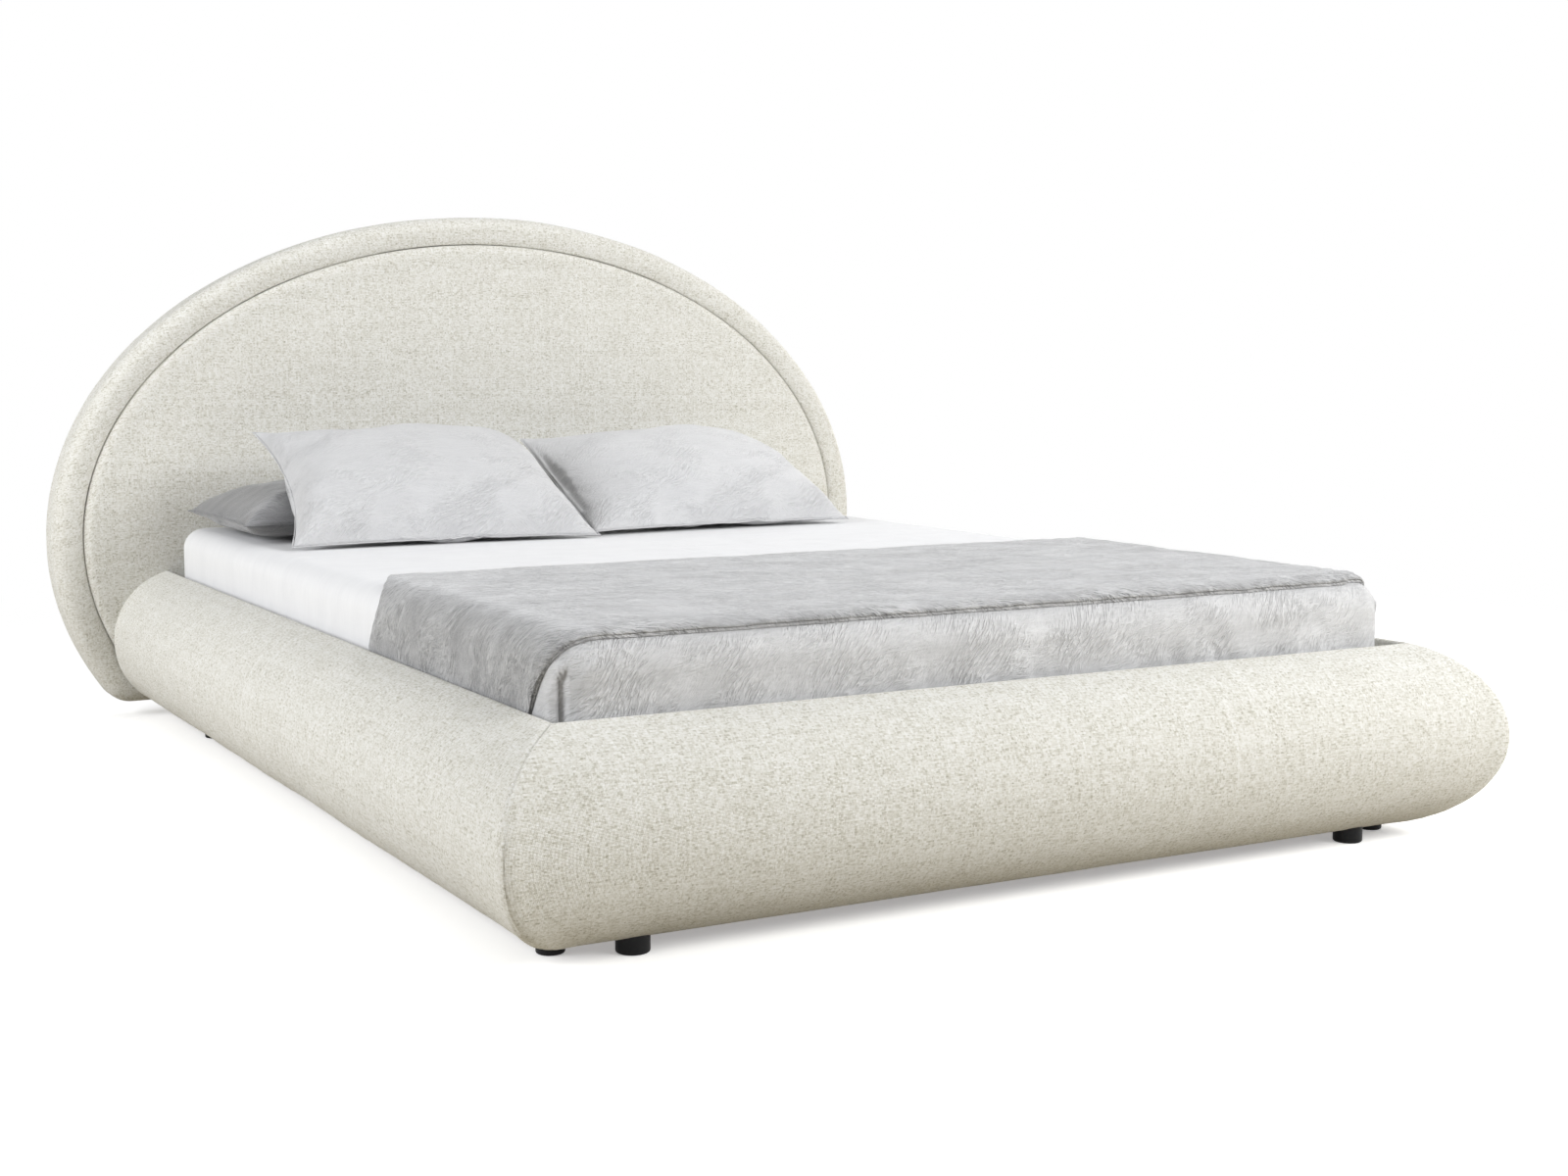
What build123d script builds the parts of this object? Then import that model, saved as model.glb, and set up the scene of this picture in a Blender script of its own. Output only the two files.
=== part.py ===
"""Upholstered bed with a rounded padded headboard, three bolster rails, a slat base and bedding.

Millimetres. X runs across the bed, Y from the foot to the headboard, Z up from the floor.
The origin is on the floor at the middle of the bed's outline.
"""

import os
from math import cos, radians, sin, sqrt

from build123d import *

# Mattress and the room left round it
mattress_length = 2000
mattress_width = 1400
mattress_height = 200
mattress_corner_radius = 60
mattress_edge_radius = 40
side_room = 15
end_room = 20

# Rails: a timber board inside a foam bolster under a fabric cover
rail_top = 306
rail_floor_gap = 18
rail_bulge = 118
board_thickness = 25
board_top_depth = 20
board_bottom_rise = 20
cover_thickness = 1.5
cover_top_return = 108
cover_bottom_return = 26

# Feet, screwed into timber blocks
foot_rail_foot_radius = 22.5
foot_rail_foot_inboard = 103
side_foot_radius = 19
side_foot_inboard = 10
side_foot_from_foot = 47
side_foot_from_head = 300
foot_height = 45
foot_stud_length = 20
foot_edge_radius = 3
pocket_clearance = 0.5
block_length = 80
block_width = 60
block_thickness = 30

# Slat ledges and head rail
ledge_top = 133
ledge_height = 30
ledge_width = 40
head_rail_thickness = 28
head_rail_height = 88

# Corner brackets and their bolts
bracket_leg = 90
bracket_height = 46
bracket_thickness = 3
bracket_bend_radius = 5
foot_bracket_bottom = 138
head_bracket_bottom = 51
bolt_radius = 4
bolt_head_radius = 7
bolt_head_height = 5
bolt_bite = 20
bolt_clearance = 0.1
bracket_hole_shares = (0.42, 0.78)

# Headboard: a truncated ellipse, padded in front and round its edge
headboard_half_width = 945
headboard_rise = 688
headboard_centre_height = 365
headboard_floor_gap = 30
headboard_corner_radius = 60
border_width = 62
border_wrap = 14
border_setback = 4
border_front_radius = 30
border_back_radius = 9
seam_radius = 13
seam_gap = 0.3
pad_thickness = 40
panel_thickness = 16
rim_depth = 30
rim_width = 45
border_return_width = 30
border_return_thickness = 4
back_cloth_thickness = 2
post_spread = 500
post_width = 70
headboard_bolt_height = 111
headboard_bolt_offset = 18
nut_radius = 7
nut_length = 22

# Centre beam, its hangers and its two legs
beam_width = 40
beam_height = 40
beam_wall = 2
beam_corner_radius = 4
hanger_thickness = 3
hanger_width = 60
hanger_depth = 45
leg_radius = 17.5
leg_spread = 330
leg_floor_gap = 26
leg_flange_length = 80
leg_flange_thickness = 3
glide_radius = 25
glide_height = 9
glide_edge_radius = 2
glide_stem_radius = 5
glide_stem_length = 36
glide_travel = 15
stem_clearance = 0.1

# Slat base
slat_rail_width = 30
slat_rail_height = 50
slat_rail_edge_radius = 4
crossbar_size = 30
slat_count = 26
slat_width = 53
slat_thickness = 8
slat_camber = 12
slat_crown_rise = 10
slat_end_margin = 40
holder_reach = 38
holder_wall = 4
holder_clearance = 0.5
belt_width = 40
belt_thickness = 1.8
belt_gap = 0.1

# Bedding
soft_gap = 0.3
sheet_thickness = 1.5
sheet_hem_rise = 42
coverlet_thickness = 6
coverlet_reach = 690
coverlet_hem_height = 225
pleat_angle = 35
pleat_sweep = 18
pleat_depth = 4.6
pleat_top_drop = 40
throw_top_thickness = 12
throw_side_thickness = 5
throw_foot_edge = 36
throw_head_edge = 765
throw_hem_height = 250
throw_slant = 94
throw_shoulder_slant = 22
throw_shoulder_bend = 7
throw_fold_gap = 0.6
throw_fold_depth = 4
pillow_width = 600
pillow_height = 440
pillow_draw = 14
pillow_crown = 78
pillow_belly = 28
left_pillow_x = -335
left_pillow_from_head = 465
left_pillow_rise = 104.1
left_pillow_tilt = 26
left_pillow_turn = -1.5
left_pillow_taper = 60
right_pillow_x = 257
right_pillow_from_head = 413
right_pillow_rise = 92.5
right_pillow_tilt = 22
right_pillow_turn = 3
right_pillow_taper = 75
back_pillow_left_x = -385
back_pillow_left_from_head = 283.5
back_pillow_left_rise = 36.6
back_pillow_left_crown = 70
back_pillow_left_belly = 36
back_pillow_right_x = 300
back_pillow_right_from_head = 227.5
back_pillow_right_rise = 30.8
back_pillow_right_crown = 60
back_pillow_right_belly = 30

# One overrun for every cut
cut_margin = 10

# Places worked out from the sizes above
half_opening = mattress_width / 2 + side_room
opening_length = mattress_length + 2 * end_room
foot_rail_foot_spread = half_opening - foot_rail_foot_inboard
pad_back = pad_thickness
panel_back = pad_back + panel_thickness
rim_back = panel_back + rim_depth
headboard_depth = rim_back + border_return_thickness
overall_length = rail_bulge + opening_length + headboard_depth
foot_y = rail_bulge - overall_length / 2
head_y = foot_y + opening_length

rail_height = rail_top - rail_floor_gap
rail_middle = rail_floor_gap + rail_height / 2
rail_radius = (rail_bulge**2 + (rail_height / 2) ** 2) / (2 * rail_bulge)
rail_axis = rail_bulge - rail_radius
board_top = rail_top - board_top_depth
board_bottom = rail_floor_gap + board_bottom_rise
board_middle = (board_top + board_bottom) / 2
board_face_x = half_opening + cover_thickness
board_face_y = foot_y - cover_thickness
head_rail_face_y = head_y - head_rail_thickness
outer_x = half_opening + rail_bulge
slit_top = rail_top - cover_top_return
slit_bottom = rail_floor_gap + cover_bottom_return

slat_frame_top = ledge_top + slat_rail_height
slat_crown = slat_frame_top + slat_crown_rise
mattress_bottom = slat_crown + soft_gap
mattress_top = mattress_bottom + mattress_height
mattress_y = foot_y + opening_length / 2
sheet_top = mattress_top + sheet_thickness

os.makedirs("parts", exist_ok=True)


def finish(piece, name):
    """Label a finished piece and write it under its own name."""
    piece.label = name
    export_step(piece, f"parts/{name}.step")


def wall_plane(y):
    """Upright plane across the bed, seen from the foot end: local x is X and local y is Z."""
    return Plane.XZ.offset(-y)


def seat_plane(x, y, z, direction):
    """Plane of a bolt's seat, its normal pointing the way that the head stands out."""
    return Plane(origin=(x, y, z), z_dir=direction)


def rounded_block(width, length, bottom, top, corner_radius, edge_radius):
    """Block centred on the mattress, with upright corners and top edges rounded."""
    with BuildPart() as block:
        with BuildSketch(Plane.XY.offset(bottom)):
            with Locations((0, mattress_y)):
                RectangleRounded(width, length, corner_radius)
        extrude(amount=top - bottom)
        fillet(block.edges().group_by(Axis.Z)[-1], edge_radius)
    return block.part


# Rails

def rail_profile(inset):
    """D section of a rail: local x points out of the bed from the inner face, local y is the height."""
    radius = rail_radius - inset
    half_height = sqrt(radius**2 - (inset - rail_axis) ** 2)
    top_point = (inset, rail_middle + half_height)
    bottom_point = (inset, rail_middle - half_height)
    with BuildSketch() as profile:
        with BuildLine():
            ThreePointArc(top_point, (rail_bulge - inset, rail_middle), bottom_point)
            Line(bottom_point, top_point)
        make_face()
    return profile.sketch


def board_profile():
    """Upright timber board just inside the cover."""
    with BuildSketch() as profile:
        with Locations((cover_thickness + board_thickness / 2, board_middle)):
            Rectangle(board_thickness, board_top - board_bottom)
    return profile.sketch


def bolster_profile():
    """Foam round the outside of the board."""
    with BuildSketch() as profile:
        add(rail_profile(cover_thickness))
        add(board_profile(), mode=Mode.SUBTRACT)
    return profile.sketch


def cover_profile():
    """Fabric round the foam, stapled to the board above and below a bare strip."""
    with BuildSketch() as profile:
        add(rail_profile(0))
        add(rail_profile(cover_thickness), mode=Mode.SUBTRACT)
        with Locations((0, (slit_top + slit_bottom) / 2)):
            Rectangle(board_thickness, slit_top - slit_bottom, mode=Mode.SUBTRACT)
    return profile.sketch


mitre_right = Plane(origin=(half_opening, foot_y, 0), z_dir=(1, 1, 0))
mitre_left = Plane(origin=(-half_opening, foot_y, 0), z_dir=(-1, 1, 0))


def side_length(profile, side):
    """Run a profile along one side of the bed, mitred at the foot; side is 1 on the right, -1 on the left."""
    with BuildPart() as length:
        with BuildSketch(wall_plane(head_y)):
            with Locations((half_opening, 0)):
                add(profile)
        extrude(amount=opening_length + rail_bulge)
        split(bisect_by=mitre_right, keep=Keep.TOP)
        if side < 0:
            mirror(about=Plane.YZ, mode=Mode.REPLACE)
    return length.part


def foot_length(profile):
    """Run a profile across the foot of the bed, mitred at both ends."""
    with BuildPart() as length:
        with BuildSketch(Plane(origin=(outer_x, foot_y, 0), x_dir=(0, -1, 0), z_dir=(-1, 0, 0))):
            add(profile)
        extrude(amount=2 * outer_x)
        split(bisect_by=mitre_right, keep=Keep.BOTTOM)
        split(bisect_by=mitre_left, keep=Keep.BOTTOM)
    return length.part


side_foot_x = half_opening - side_foot_inboard
side_foot_ys = (foot_y + side_foot_from_foot, head_y - side_foot_from_head)


def side_foot_places(side):
    """Feet under one side rail, as points on the floor."""
    return [(side * side_foot_x, y) for y in side_foot_ys]


foot_rail_foot_places = [(x, foot_y) for x in (-foot_rail_foot_spread, foot_rail_foot_spread)]


def foot_pockets(places, radius):
    """Cylinders that clear the rail round its feet and their studs."""
    with BuildPart() as pockets:
        with BuildSketch():
            with Locations(*places):
                Circle(radius + pocket_clearance)
        extrude(amount=foot_height)
        with BuildSketch(Plane.XY.offset(foot_height)):
            with Locations(*places):
                Circle(bolt_radius + pocket_clearance)
        extrude(amount=foot_stud_length + pocket_clearance)
    return pockets.part


# Corner brackets hold the side boards to the foot board and to the head rail

def bracket_seats(side, corner_y, inward, bottom):
    """Bolt seats of one corner bracket: two on the side board, two on the board across."""
    height = bottom + bracket_height / 2
    seats = []
    for share in bracket_hole_shares:
        reach = bracket_leg * share
        along = seat_plane(
            side * (board_face_x - bracket_thickness), corner_y + inward * reach, height, (-side, 0, 0)
        )
        across = seat_plane(
            side * (board_face_x - reach), corner_y + inward * bracket_thickness, height, (0, inward, 0)
        )
        seats.append(along)
        seats.append(across)
    return seats


def bracket(side, corner_y, inward, bottom):
    """Angle plate in one corner; inward is 1 where the bed lies towards the head, -1 towards the foot."""
    seats = bracket_seats(side, corner_y, inward, bottom)
    corner = (side * board_face_x, corner_y)
    with BuildPart() as plate:
        with BuildSketch(Plane.XY.offset(bottom)):
            with BuildLine():
                inner_x = corner[0] - side * bracket_thickness
                inner_y = corner_y + inward * bracket_thickness
                FilletPolyline(
                    (inner_x, corner_y + inward * bracket_leg),
                    (inner_x, inner_y),
                    (corner[0] - side * bracket_leg, inner_y),
                    radius=bracket_bend_radius,
                )
                Polyline(
                    (corner[0] - side * bracket_leg, inner_y),
                    (corner[0] - side * bracket_leg, corner_y),
                    corner,
                    (corner[0], corner_y + inward * bracket_leg),
                    (inner_x, corner_y + inward * bracket_leg),
                )
            make_face()
        extrude(amount=bracket_height)
        with BuildSketch(*seats):
            Circle(bolt_radius + bolt_clearance)
        extrude(amount=-bracket_thickness, mode=Mode.SUBTRACT)
    return plate.part


def bolt(seat, grip):
    """Hexagon bolt whose head sits on the seat and whose shank runs back from it by grip."""
    with BuildPart() as screw:
        with BuildSketch(seat):
            RegularPolygon(bolt_head_radius, 6)
        extrude(amount=bolt_head_height)
        with BuildSketch(seat):
            Circle(bolt_radius)
        extrude(amount=-grip)
    return screw.part


def cut_bolt_holes(solid, seats, depth):
    """The solid with a clearance hole behind each seat."""
    with BuildPart() as drilled:
        add(solid)
        with BuildSketch(*seats):
            Circle(bolt_radius + bolt_clearance)
        extrude(amount=-depth, mode=Mode.SUBTRACT)
    return drilled.part


foot_corners = [(side, board_face_y, 1, foot_bracket_bottom) for side in (-1, 1)]
head_corners = [(side, head_rail_face_y, -1, head_bracket_bottom) for side in (-1, 1)]
corner_seats = []
for corner in foot_corners + head_corners:
    corner_seats += bracket_seats(*corner)
bolt_hole_depth = bracket_thickness + bolt_bite + bolt_clearance

for side, side_name in ((-1, "left"), (1, "right")):
    side_pockets = foot_pockets(side_foot_places(side), side_foot_radius)
    seats = [seat for seat in corner_seats if seat.z_dir.X * side < 0]

    with BuildPart() as side_board:
        add(side_length(board_profile(), side))
        add(side_pockets, mode=Mode.SUBTRACT)
        with BuildSketch(*seats):
            Circle(bolt_radius + bolt_clearance)
        extrude(amount=-bolt_hole_depth, mode=Mode.SUBTRACT)
    finish(side_board.part, f"side_board_{side_name}")

    with BuildPart() as side_bolster:
        add(side_length(bolster_profile(), side))
        add(side_pockets, mode=Mode.SUBTRACT)
    finish(side_bolster.part, f"side_bolster_{side_name}")

    with BuildPart() as side_cover:
        add(side_length(cover_profile(), side))
        add(side_pockets, mode=Mode.SUBTRACT)
    finish(side_cover.part, f"side_cover_{side_name}")

    with BuildPart() as side_ledge:
        with BuildSketch(wall_plane(head_rail_face_y)):
            with Locations((side * (board_face_x - ledge_width / 2), ledge_top - ledge_height / 2)):
                Rectangle(ledge_width, ledge_height)
        extrude(amount=head_rail_face_y - board_face_y)
    finish(side_ledge.part, f"side_ledge_{side_name}")

foot_pocket_solid = foot_pockets(foot_rail_foot_places, foot_rail_foot_radius)
foot_seats = [seat for seat in corner_seats if seat.z_dir.Y > 0]
head_seats = [seat for seat in corner_seats if seat.z_dir.Y < 0]

with BuildPart() as foot_board:
    add(foot_length(board_profile()))
    add(foot_pocket_solid, mode=Mode.SUBTRACT)
    with BuildSketch(*foot_seats):
        Circle(bolt_radius + bolt_clearance)
    extrude(amount=-bolt_hole_depth, mode=Mode.SUBTRACT)
finish(foot_board.part, "foot_board")

with BuildPart() as foot_bolster:
    add(foot_length(bolster_profile()))
    add(foot_pocket_solid, mode=Mode.SUBTRACT)
finish(foot_bolster.part, "foot_bolster")

with BuildPart() as foot_cover:
    add(foot_length(cover_profile()))
    add(foot_pocket_solid, mode=Mode.SUBTRACT)
finish(foot_cover.part, "foot_cover")

foot_ledge_half = board_face_x - ledge_width
foot_ledge_run = foot_ledge_half - hanger_width / 2
with BuildPart() as foot_ledge:
    for side in (-1, 1):
        with BuildSketch(Plane.XY.offset(ledge_top - ledge_height)):
            with Locations((side * (foot_ledge_half + hanger_width / 2) / 2, board_face_y + ledge_width / 2)):
                Rectangle(foot_ledge_run, ledge_width)
        extrude(amount=ledge_height)
finish(foot_ledge.part, "foot_ledge")

with BuildPart() as foot_brackets:
    for corner in foot_corners:
        add(bracket(*corner))
finish(foot_brackets.part, "foot_corner_brackets")

with BuildPart() as head_brackets:
    for corner in head_corners:
        add(bracket(*corner))
finish(head_brackets.part, "head_corner_brackets")

with BuildPart() as corner_bolts:
    for seat in corner_seats:
        add(bolt(seat, bracket_thickness + bolt_bite))
finish(corner_bolts.part, "corner_bolts")


# Feet and the blocks that carry them

def foot(places, radius):
    """Round feet with a stud on top, one at each place."""
    with BuildPart() as feet:
        with BuildSketch():
            with Locations(*places):
                Circle(radius)
        extrude(amount=foot_height)
        fillet(feet.edges().group_by(Axis.Z)[0], foot_edge_radius)
        with BuildSketch(Plane.XY.offset(foot_height)):
            with Locations(*places):
                Circle(bolt_radius)
        extrude(amount=foot_stud_length)
    return feet.part


side_places = side_foot_places(-1) + side_foot_places(1)

with BuildPart() as foot_rail_feet:
    add(foot(foot_rail_foot_places, foot_rail_foot_radius))
finish(foot_rail_feet.part, "foot_rail_feet")

with BuildPart() as side_rail_feet:
    add(foot(side_places, side_foot_radius))
finish(side_rail_feet.part, "side_rail_feet")

block_x = board_face_x - block_width / 2
block_y = board_face_y + block_width / 2
with BuildPart() as foot_blocks:
    with BuildSketch(Plane.XY.offset(foot_height)):
        with Locations(*[(x, block_y) for x, _ in foot_rail_foot_places]):
            Rectangle(block_length, block_width)
        with Locations(*[(side * block_x, y) for side in (-1, 1) for y in side_foot_ys]):
            Rectangle(block_width, block_length)
        with Locations(*foot_rail_foot_places, *side_places):
            Circle(bolt_radius + bolt_clearance, mode=Mode.SUBTRACT)
    extrude(amount=block_thickness)
finish(foot_blocks.part, "foot_blocks")


# Headboard

def headboard_outline(inset):
    """Truncated ellipse with rounded bottom corners, drawn in by inset all round."""
    base = headboard_floor_gap + inset
    top = headboard_centre_height + headboard_rise
    with BuildSketch() as outline:
        with Locations((0, headboard_centre_height)):
            Ellipse(headboard_half_width - inset, headboard_rise - inset)
        with Locations((0, base)):
            Rectangle(
                2 * headboard_half_width,
                top - base,
                align=(Align.CENTER, Align.MIN),
                mode=Mode.INTERSECT,
            )
        fillet(outline.vertices().group_by(Axis.Y)[0], max(headboard_corner_radius - inset, seam_radius))
    return outline.sketch


headboard_seats = [
    seat_plane(post_x + offset, head_rail_face_y, headboard_bolt_height, (0, -1, 0))
    for post_x in (-post_spread, post_spread)
    for offset in (-headboard_bolt_offset, headboard_bolt_offset)
]
headboard_bolt_length = head_y + rim_back - head_rail_face_y
nut_seats = [seat.offset(-(headboard_bolt_length - nut_length)) for seat in headboard_seats]

with BuildPart() as headboard_border:
    with BuildSketch(wall_plane(head_y + border_setback)):
        add(headboard_outline(0))
        add(headboard_outline(border_width), mode=Mode.SUBTRACT)
    extrude(amount=-(pad_back - border_setback))
    with BuildSketch(wall_plane(head_y + pad_back)):
        add(headboard_outline(0))
        add(headboard_outline(border_wrap), mode=Mode.SUBTRACT)
    extrude(amount=-(rim_back - pad_back))
    with BuildSketch(wall_plane(head_y + rim_back)):
        add(headboard_outline(0))
        add(headboard_outline(border_wrap + border_return_width), mode=Mode.SUBTRACT)
    extrude(amount=-border_return_thickness)
    front = headboard_border.faces().sort_by(Axis.Y)[0]
    fillet(front.outer_wire().edges(), border_front_radius)
    front = headboard_border.faces().sort_by(Axis.Y)[0]
    fillet(front.inner_wires()[0].edges(), seam_radius)
    back = headboard_border.faces().sort_by(Axis.Y)[-1]
    fillet(back.outer_wire().edges(), border_back_radius)
finish(headboard_border.part, "headboard_border")

with BuildPart() as headboard_pad:
    with BuildSketch(wall_plane(head_y)):
        add(headboard_outline(border_width + seam_gap))
    extrude(amount=-pad_thickness)
    front = headboard_pad.faces().sort_by(Axis.Y)[0]
    fillet(front.outer_wire().edges(), seam_radius)
    with BuildSketch(*headboard_seats):
        Circle(bolt_radius + bolt_clearance)
    extrude(amount=-headboard_bolt_length, mode=Mode.SUBTRACT)
finish(headboard_pad.part, "headboard_centre_pad")

with BuildPart() as headboard_panel:
    with BuildSketch(wall_plane(head_y + pad_back)):
        add(headboard_outline(border_wrap))
    extrude(amount=-panel_thickness)
    with BuildSketch(*headboard_seats):
        Circle(bolt_radius + bolt_clearance)
    extrude(amount=-headboard_bolt_length, mode=Mode.SUBTRACT)
finish(headboard_panel.part, "headboard_panel")

with BuildPart() as headboard_rim:
    with BuildSketch(wall_plane(head_y + panel_back)):
        add(headboard_outline(border_wrap))
        add(headboard_outline(border_wrap + rim_width), mode=Mode.SUBTRACT)
    extrude(amount=-rim_depth)
finish(headboard_rim.part, "headboard_rim")

with BuildPart() as headboard_posts:
    with BuildSketch(wall_plane(head_y + panel_back)):
        with Locations((-post_spread, 0), (post_spread, 0)):
            Rectangle(post_width, 2 * overall_length)
        add(headboard_outline(border_wrap + rim_width), mode=Mode.INTERSECT)
    extrude(amount=-rim_depth)
    with BuildSketch(*headboard_seats):
        Circle(bolt_radius + bolt_clearance)
    extrude(amount=-headboard_bolt_length, mode=Mode.SUBTRACT)
    with BuildSketch(*nut_seats):
        Circle(nut_radius)
    extrude(amount=-nut_length, mode=Mode.SUBTRACT)
finish(headboard_posts.part, "headboard_posts")

with BuildPart() as headboard_nuts:
    with BuildSketch(*nut_seats):
        Circle(nut_radius)
        Circle(bolt_radius, mode=Mode.SUBTRACT)
    extrude(amount=-nut_length)
finish(headboard_nuts.part, "headboard_nuts")

with BuildPart() as headboard_bolts:
    for seat in headboard_seats:
        add(bolt(seat, headboard_bolt_length))
finish(headboard_bolts.part, "headboard_bolts")

with BuildPart() as back_cloth:
    with BuildSketch(wall_plane(head_y + rim_back)):
        add(headboard_outline(border_wrap + border_return_width))
    extrude(amount=-back_cloth_thickness)
finish(back_cloth.part, "headboard_back_cloth")

with BuildPart() as head_rail:
    with BuildSketch(wall_plane(head_y)):
        with Locations((0, ledge_top - head_rail_height / 2)):
            Rectangle(2 * board_face_x, head_rail_height)
    extrude(amount=head_rail_thickness)
    with BuildSketch(*headboard_seats):
        Circle(bolt_radius + bolt_clearance)
    extrude(amount=-head_rail_thickness, mode=Mode.SUBTRACT)
    with BuildSketch(*head_seats):
        Circle(bolt_radius + bolt_clearance)
    extrude(amount=-bolt_hole_depth, mode=Mode.SUBTRACT)
finish(head_rail.part, "head_rail")


# Centre beam under the slat base

beam_foot_y = board_face_y + hanger_thickness
beam_head_y = head_rail_face_y - hanger_thickness
beam_bottom = ledge_top - beam_height
with BuildPart() as centre_beam:
    with BuildSketch(wall_plane(beam_head_y)):
        with Locations((0, ledge_top - beam_height / 2)):
            RectangleRounded(beam_width, beam_height, beam_corner_radius)
            RectangleRounded(
                beam_width - 2 * beam_wall,
                beam_height - 2 * beam_wall,
                beam_corner_radius - beam_wall,
                mode=Mode.SUBTRACT,
            )
    extrude(amount=beam_head_y - beam_foot_y)
finish(centre_beam.part, "centre_beam")

with BuildPart() as beam_hangers:
    for y, inward in ((board_face_y, 1), (head_rail_face_y, -1)):
        with BuildSketch(wall_plane(y)):
            with Locations((0, beam_bottom - hanger_thickness)):
                Rectangle(hanger_width, beam_height, align=(Align.CENTER, Align.MIN))
        extrude(amount=-inward * hanger_thickness)
        with BuildSketch(wall_plane(y)):
            with Locations((0, beam_bottom - hanger_thickness)):
                Rectangle(
                    beam_width + 2 * hanger_thickness, beam_height, align=(Align.CENTER, Align.MIN)
                )
            with Locations((0, beam_bottom)):
                Rectangle(beam_width, beam_height, align=(Align.CENTER, Align.MIN), mode=Mode.SUBTRACT)
        extrude(amount=-inward * hanger_depth)
finish(beam_hangers.part, "beam_hangers")

leg_places = [(0, mattress_y - leg_spread), (0, mattress_y + leg_spread)]
stem_bore_depth = glide_stem_length + glide_height + glide_travel - leg_floor_gap + pocket_clearance
with BuildPart() as centre_legs:
    with BuildSketch(Plane.XY.offset(leg_floor_gap)):
        with Locations(*leg_places):
            Circle(leg_radius)
    extrude(amount=beam_bottom - leg_flange_thickness - leg_floor_gap)
    with BuildSketch(Plane.XY.offset(beam_bottom - leg_flange_thickness)):
        with Locations(*leg_places):
            Rectangle(beam_width, leg_flange_length)
    extrude(amount=leg_flange_thickness)
    with BuildSketch(Plane.XY.offset(leg_floor_gap)):
        with Locations(*leg_places):
            Circle(glide_stem_radius + stem_clearance)
    extrude(amount=stem_bore_depth, mode=Mode.SUBTRACT)
finish(centre_legs.part, "centre_legs")

for place, end_name in zip(leg_places, ("foot", "head")):
    with BuildPart() as glide:
        with BuildSketch():
            with Locations(place):
                Circle(glide_radius)
        extrude(amount=glide_height)
        fillet(glide.edges(), glide_edge_radius)
        with BuildSketch(Plane.XY.offset(glide_height)):
            with Locations(place):
                Circle(glide_stem_radius)
        extrude(amount=glide_stem_length)
    finish(glide.part, f"centre_glide_{end_name}")


# Slat base

slat_rail_x = (mattress_width - slat_rail_width) / 2
slat_rail_face = mattress_width / 2 - slat_rail_width
slat_foot_y = mattress_y - mattress_length / 2
slat_head_y = mattress_y + mattress_length / 2
for side, side_name in ((-1, "left"), (1, "right")):
    with BuildPart() as slat_rail:
        with BuildSketch(wall_plane(slat_head_y)):
            with Locations((side * slat_rail_x, ledge_top + slat_rail_height / 2)):
                RectangleRounded(slat_rail_width, slat_rail_height, slat_rail_edge_radius)
        extrude(amount=mattress_length)
    finish(slat_rail.part, f"slat_rail_{side_name}")

crossbar_ys = (
    slat_foot_y + crossbar_size / 2,
    mattress_y,
    slat_head_y - crossbar_size / 2,
)
with BuildPart() as crossbars:
    with BuildSketch(Plane.XY.offset(ledge_top)):
        with Locations(*[(0, y) for y in crossbar_ys]):
            Rectangle(2 * slat_rail_face, crossbar_size)
    extrude(amount=crossbar_size)
finish(crossbars.part, "slat_crossbars")

slat_tip = slat_rail_face - holder_wall
slat_radius = (slat_tip**2 + slat_camber**2) / (2 * slat_camber)
slat_end_top = slat_crown - slat_camber
slat_pitch = (mattress_length - 2 * slat_end_margin) / (slat_count - 1)
slat_ys = [slat_foot_y + slat_end_margin + slat_pitch * index for index in range(slat_count)]
with BuildPart() as slats:
    for y in slat_ys:
        with BuildSketch(wall_plane(y + slat_width / 2)):
            with BuildLine():
                ThreePointArc((-slat_tip, slat_end_top), (0, slat_crown), (slat_tip, slat_end_top))
                Line((slat_tip, slat_end_top), (slat_tip, slat_end_top - slat_thickness))
                ThreePointArc(
                    (slat_tip, slat_end_top - slat_thickness),
                    (0, slat_crown - slat_thickness),
                    (-slat_tip, slat_end_top - slat_thickness),
                )
                Line((-slat_tip, slat_end_top - slat_thickness), (-slat_tip, slat_end_top))
            make_face()
        extrude(amount=slat_width)
finish(slats.part, "slats")

holder_rise = slat_camber * (1 - ((slat_rail_face - holder_reach) / slat_tip) ** 2)
holder_top = slat_end_top + holder_rise + holder_clearance + holder_wall
holder_bottom = slat_end_top - slat_thickness - holder_clearance - holder_wall
with BuildPart() as holders:
    for side in (-1, 1):
        with BuildSketch(Plane.XY.offset(holder_bottom)):
            with Locations(*[(side * (slat_rail_face - holder_reach / 2), y) for y in slat_ys]):
                Rectangle(holder_reach, slat_width + 2 * (holder_clearance + holder_wall))
        extrude(amount=holder_top - holder_bottom)
        with BuildSketch(Plane.XY.offset(holder_bottom + holder_wall)):
            with Locations(*[(side * (slat_rail_face - holder_wall - holder_reach / 2), y) for y in slat_ys]):
                Rectangle(holder_reach, slat_width + 2 * holder_clearance)
        extrude(amount=holder_top - holder_bottom - 2 * holder_wall, mode=Mode.SUBTRACT)
finish(holders.part, "slat_holders")

with BuildPart() as belt:
    with BuildSketch(Plane.XY.offset(slat_crown - slat_thickness - belt_gap - belt_thickness)):
        with Locations((0, mattress_y)):
            Rectangle(belt_width, slat_ys[-1] - slat_ys[0] + slat_width)
    extrude(amount=belt_thickness)
finish(belt.part, "slat_belt")


# Mattress and the cloth on it

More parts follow.
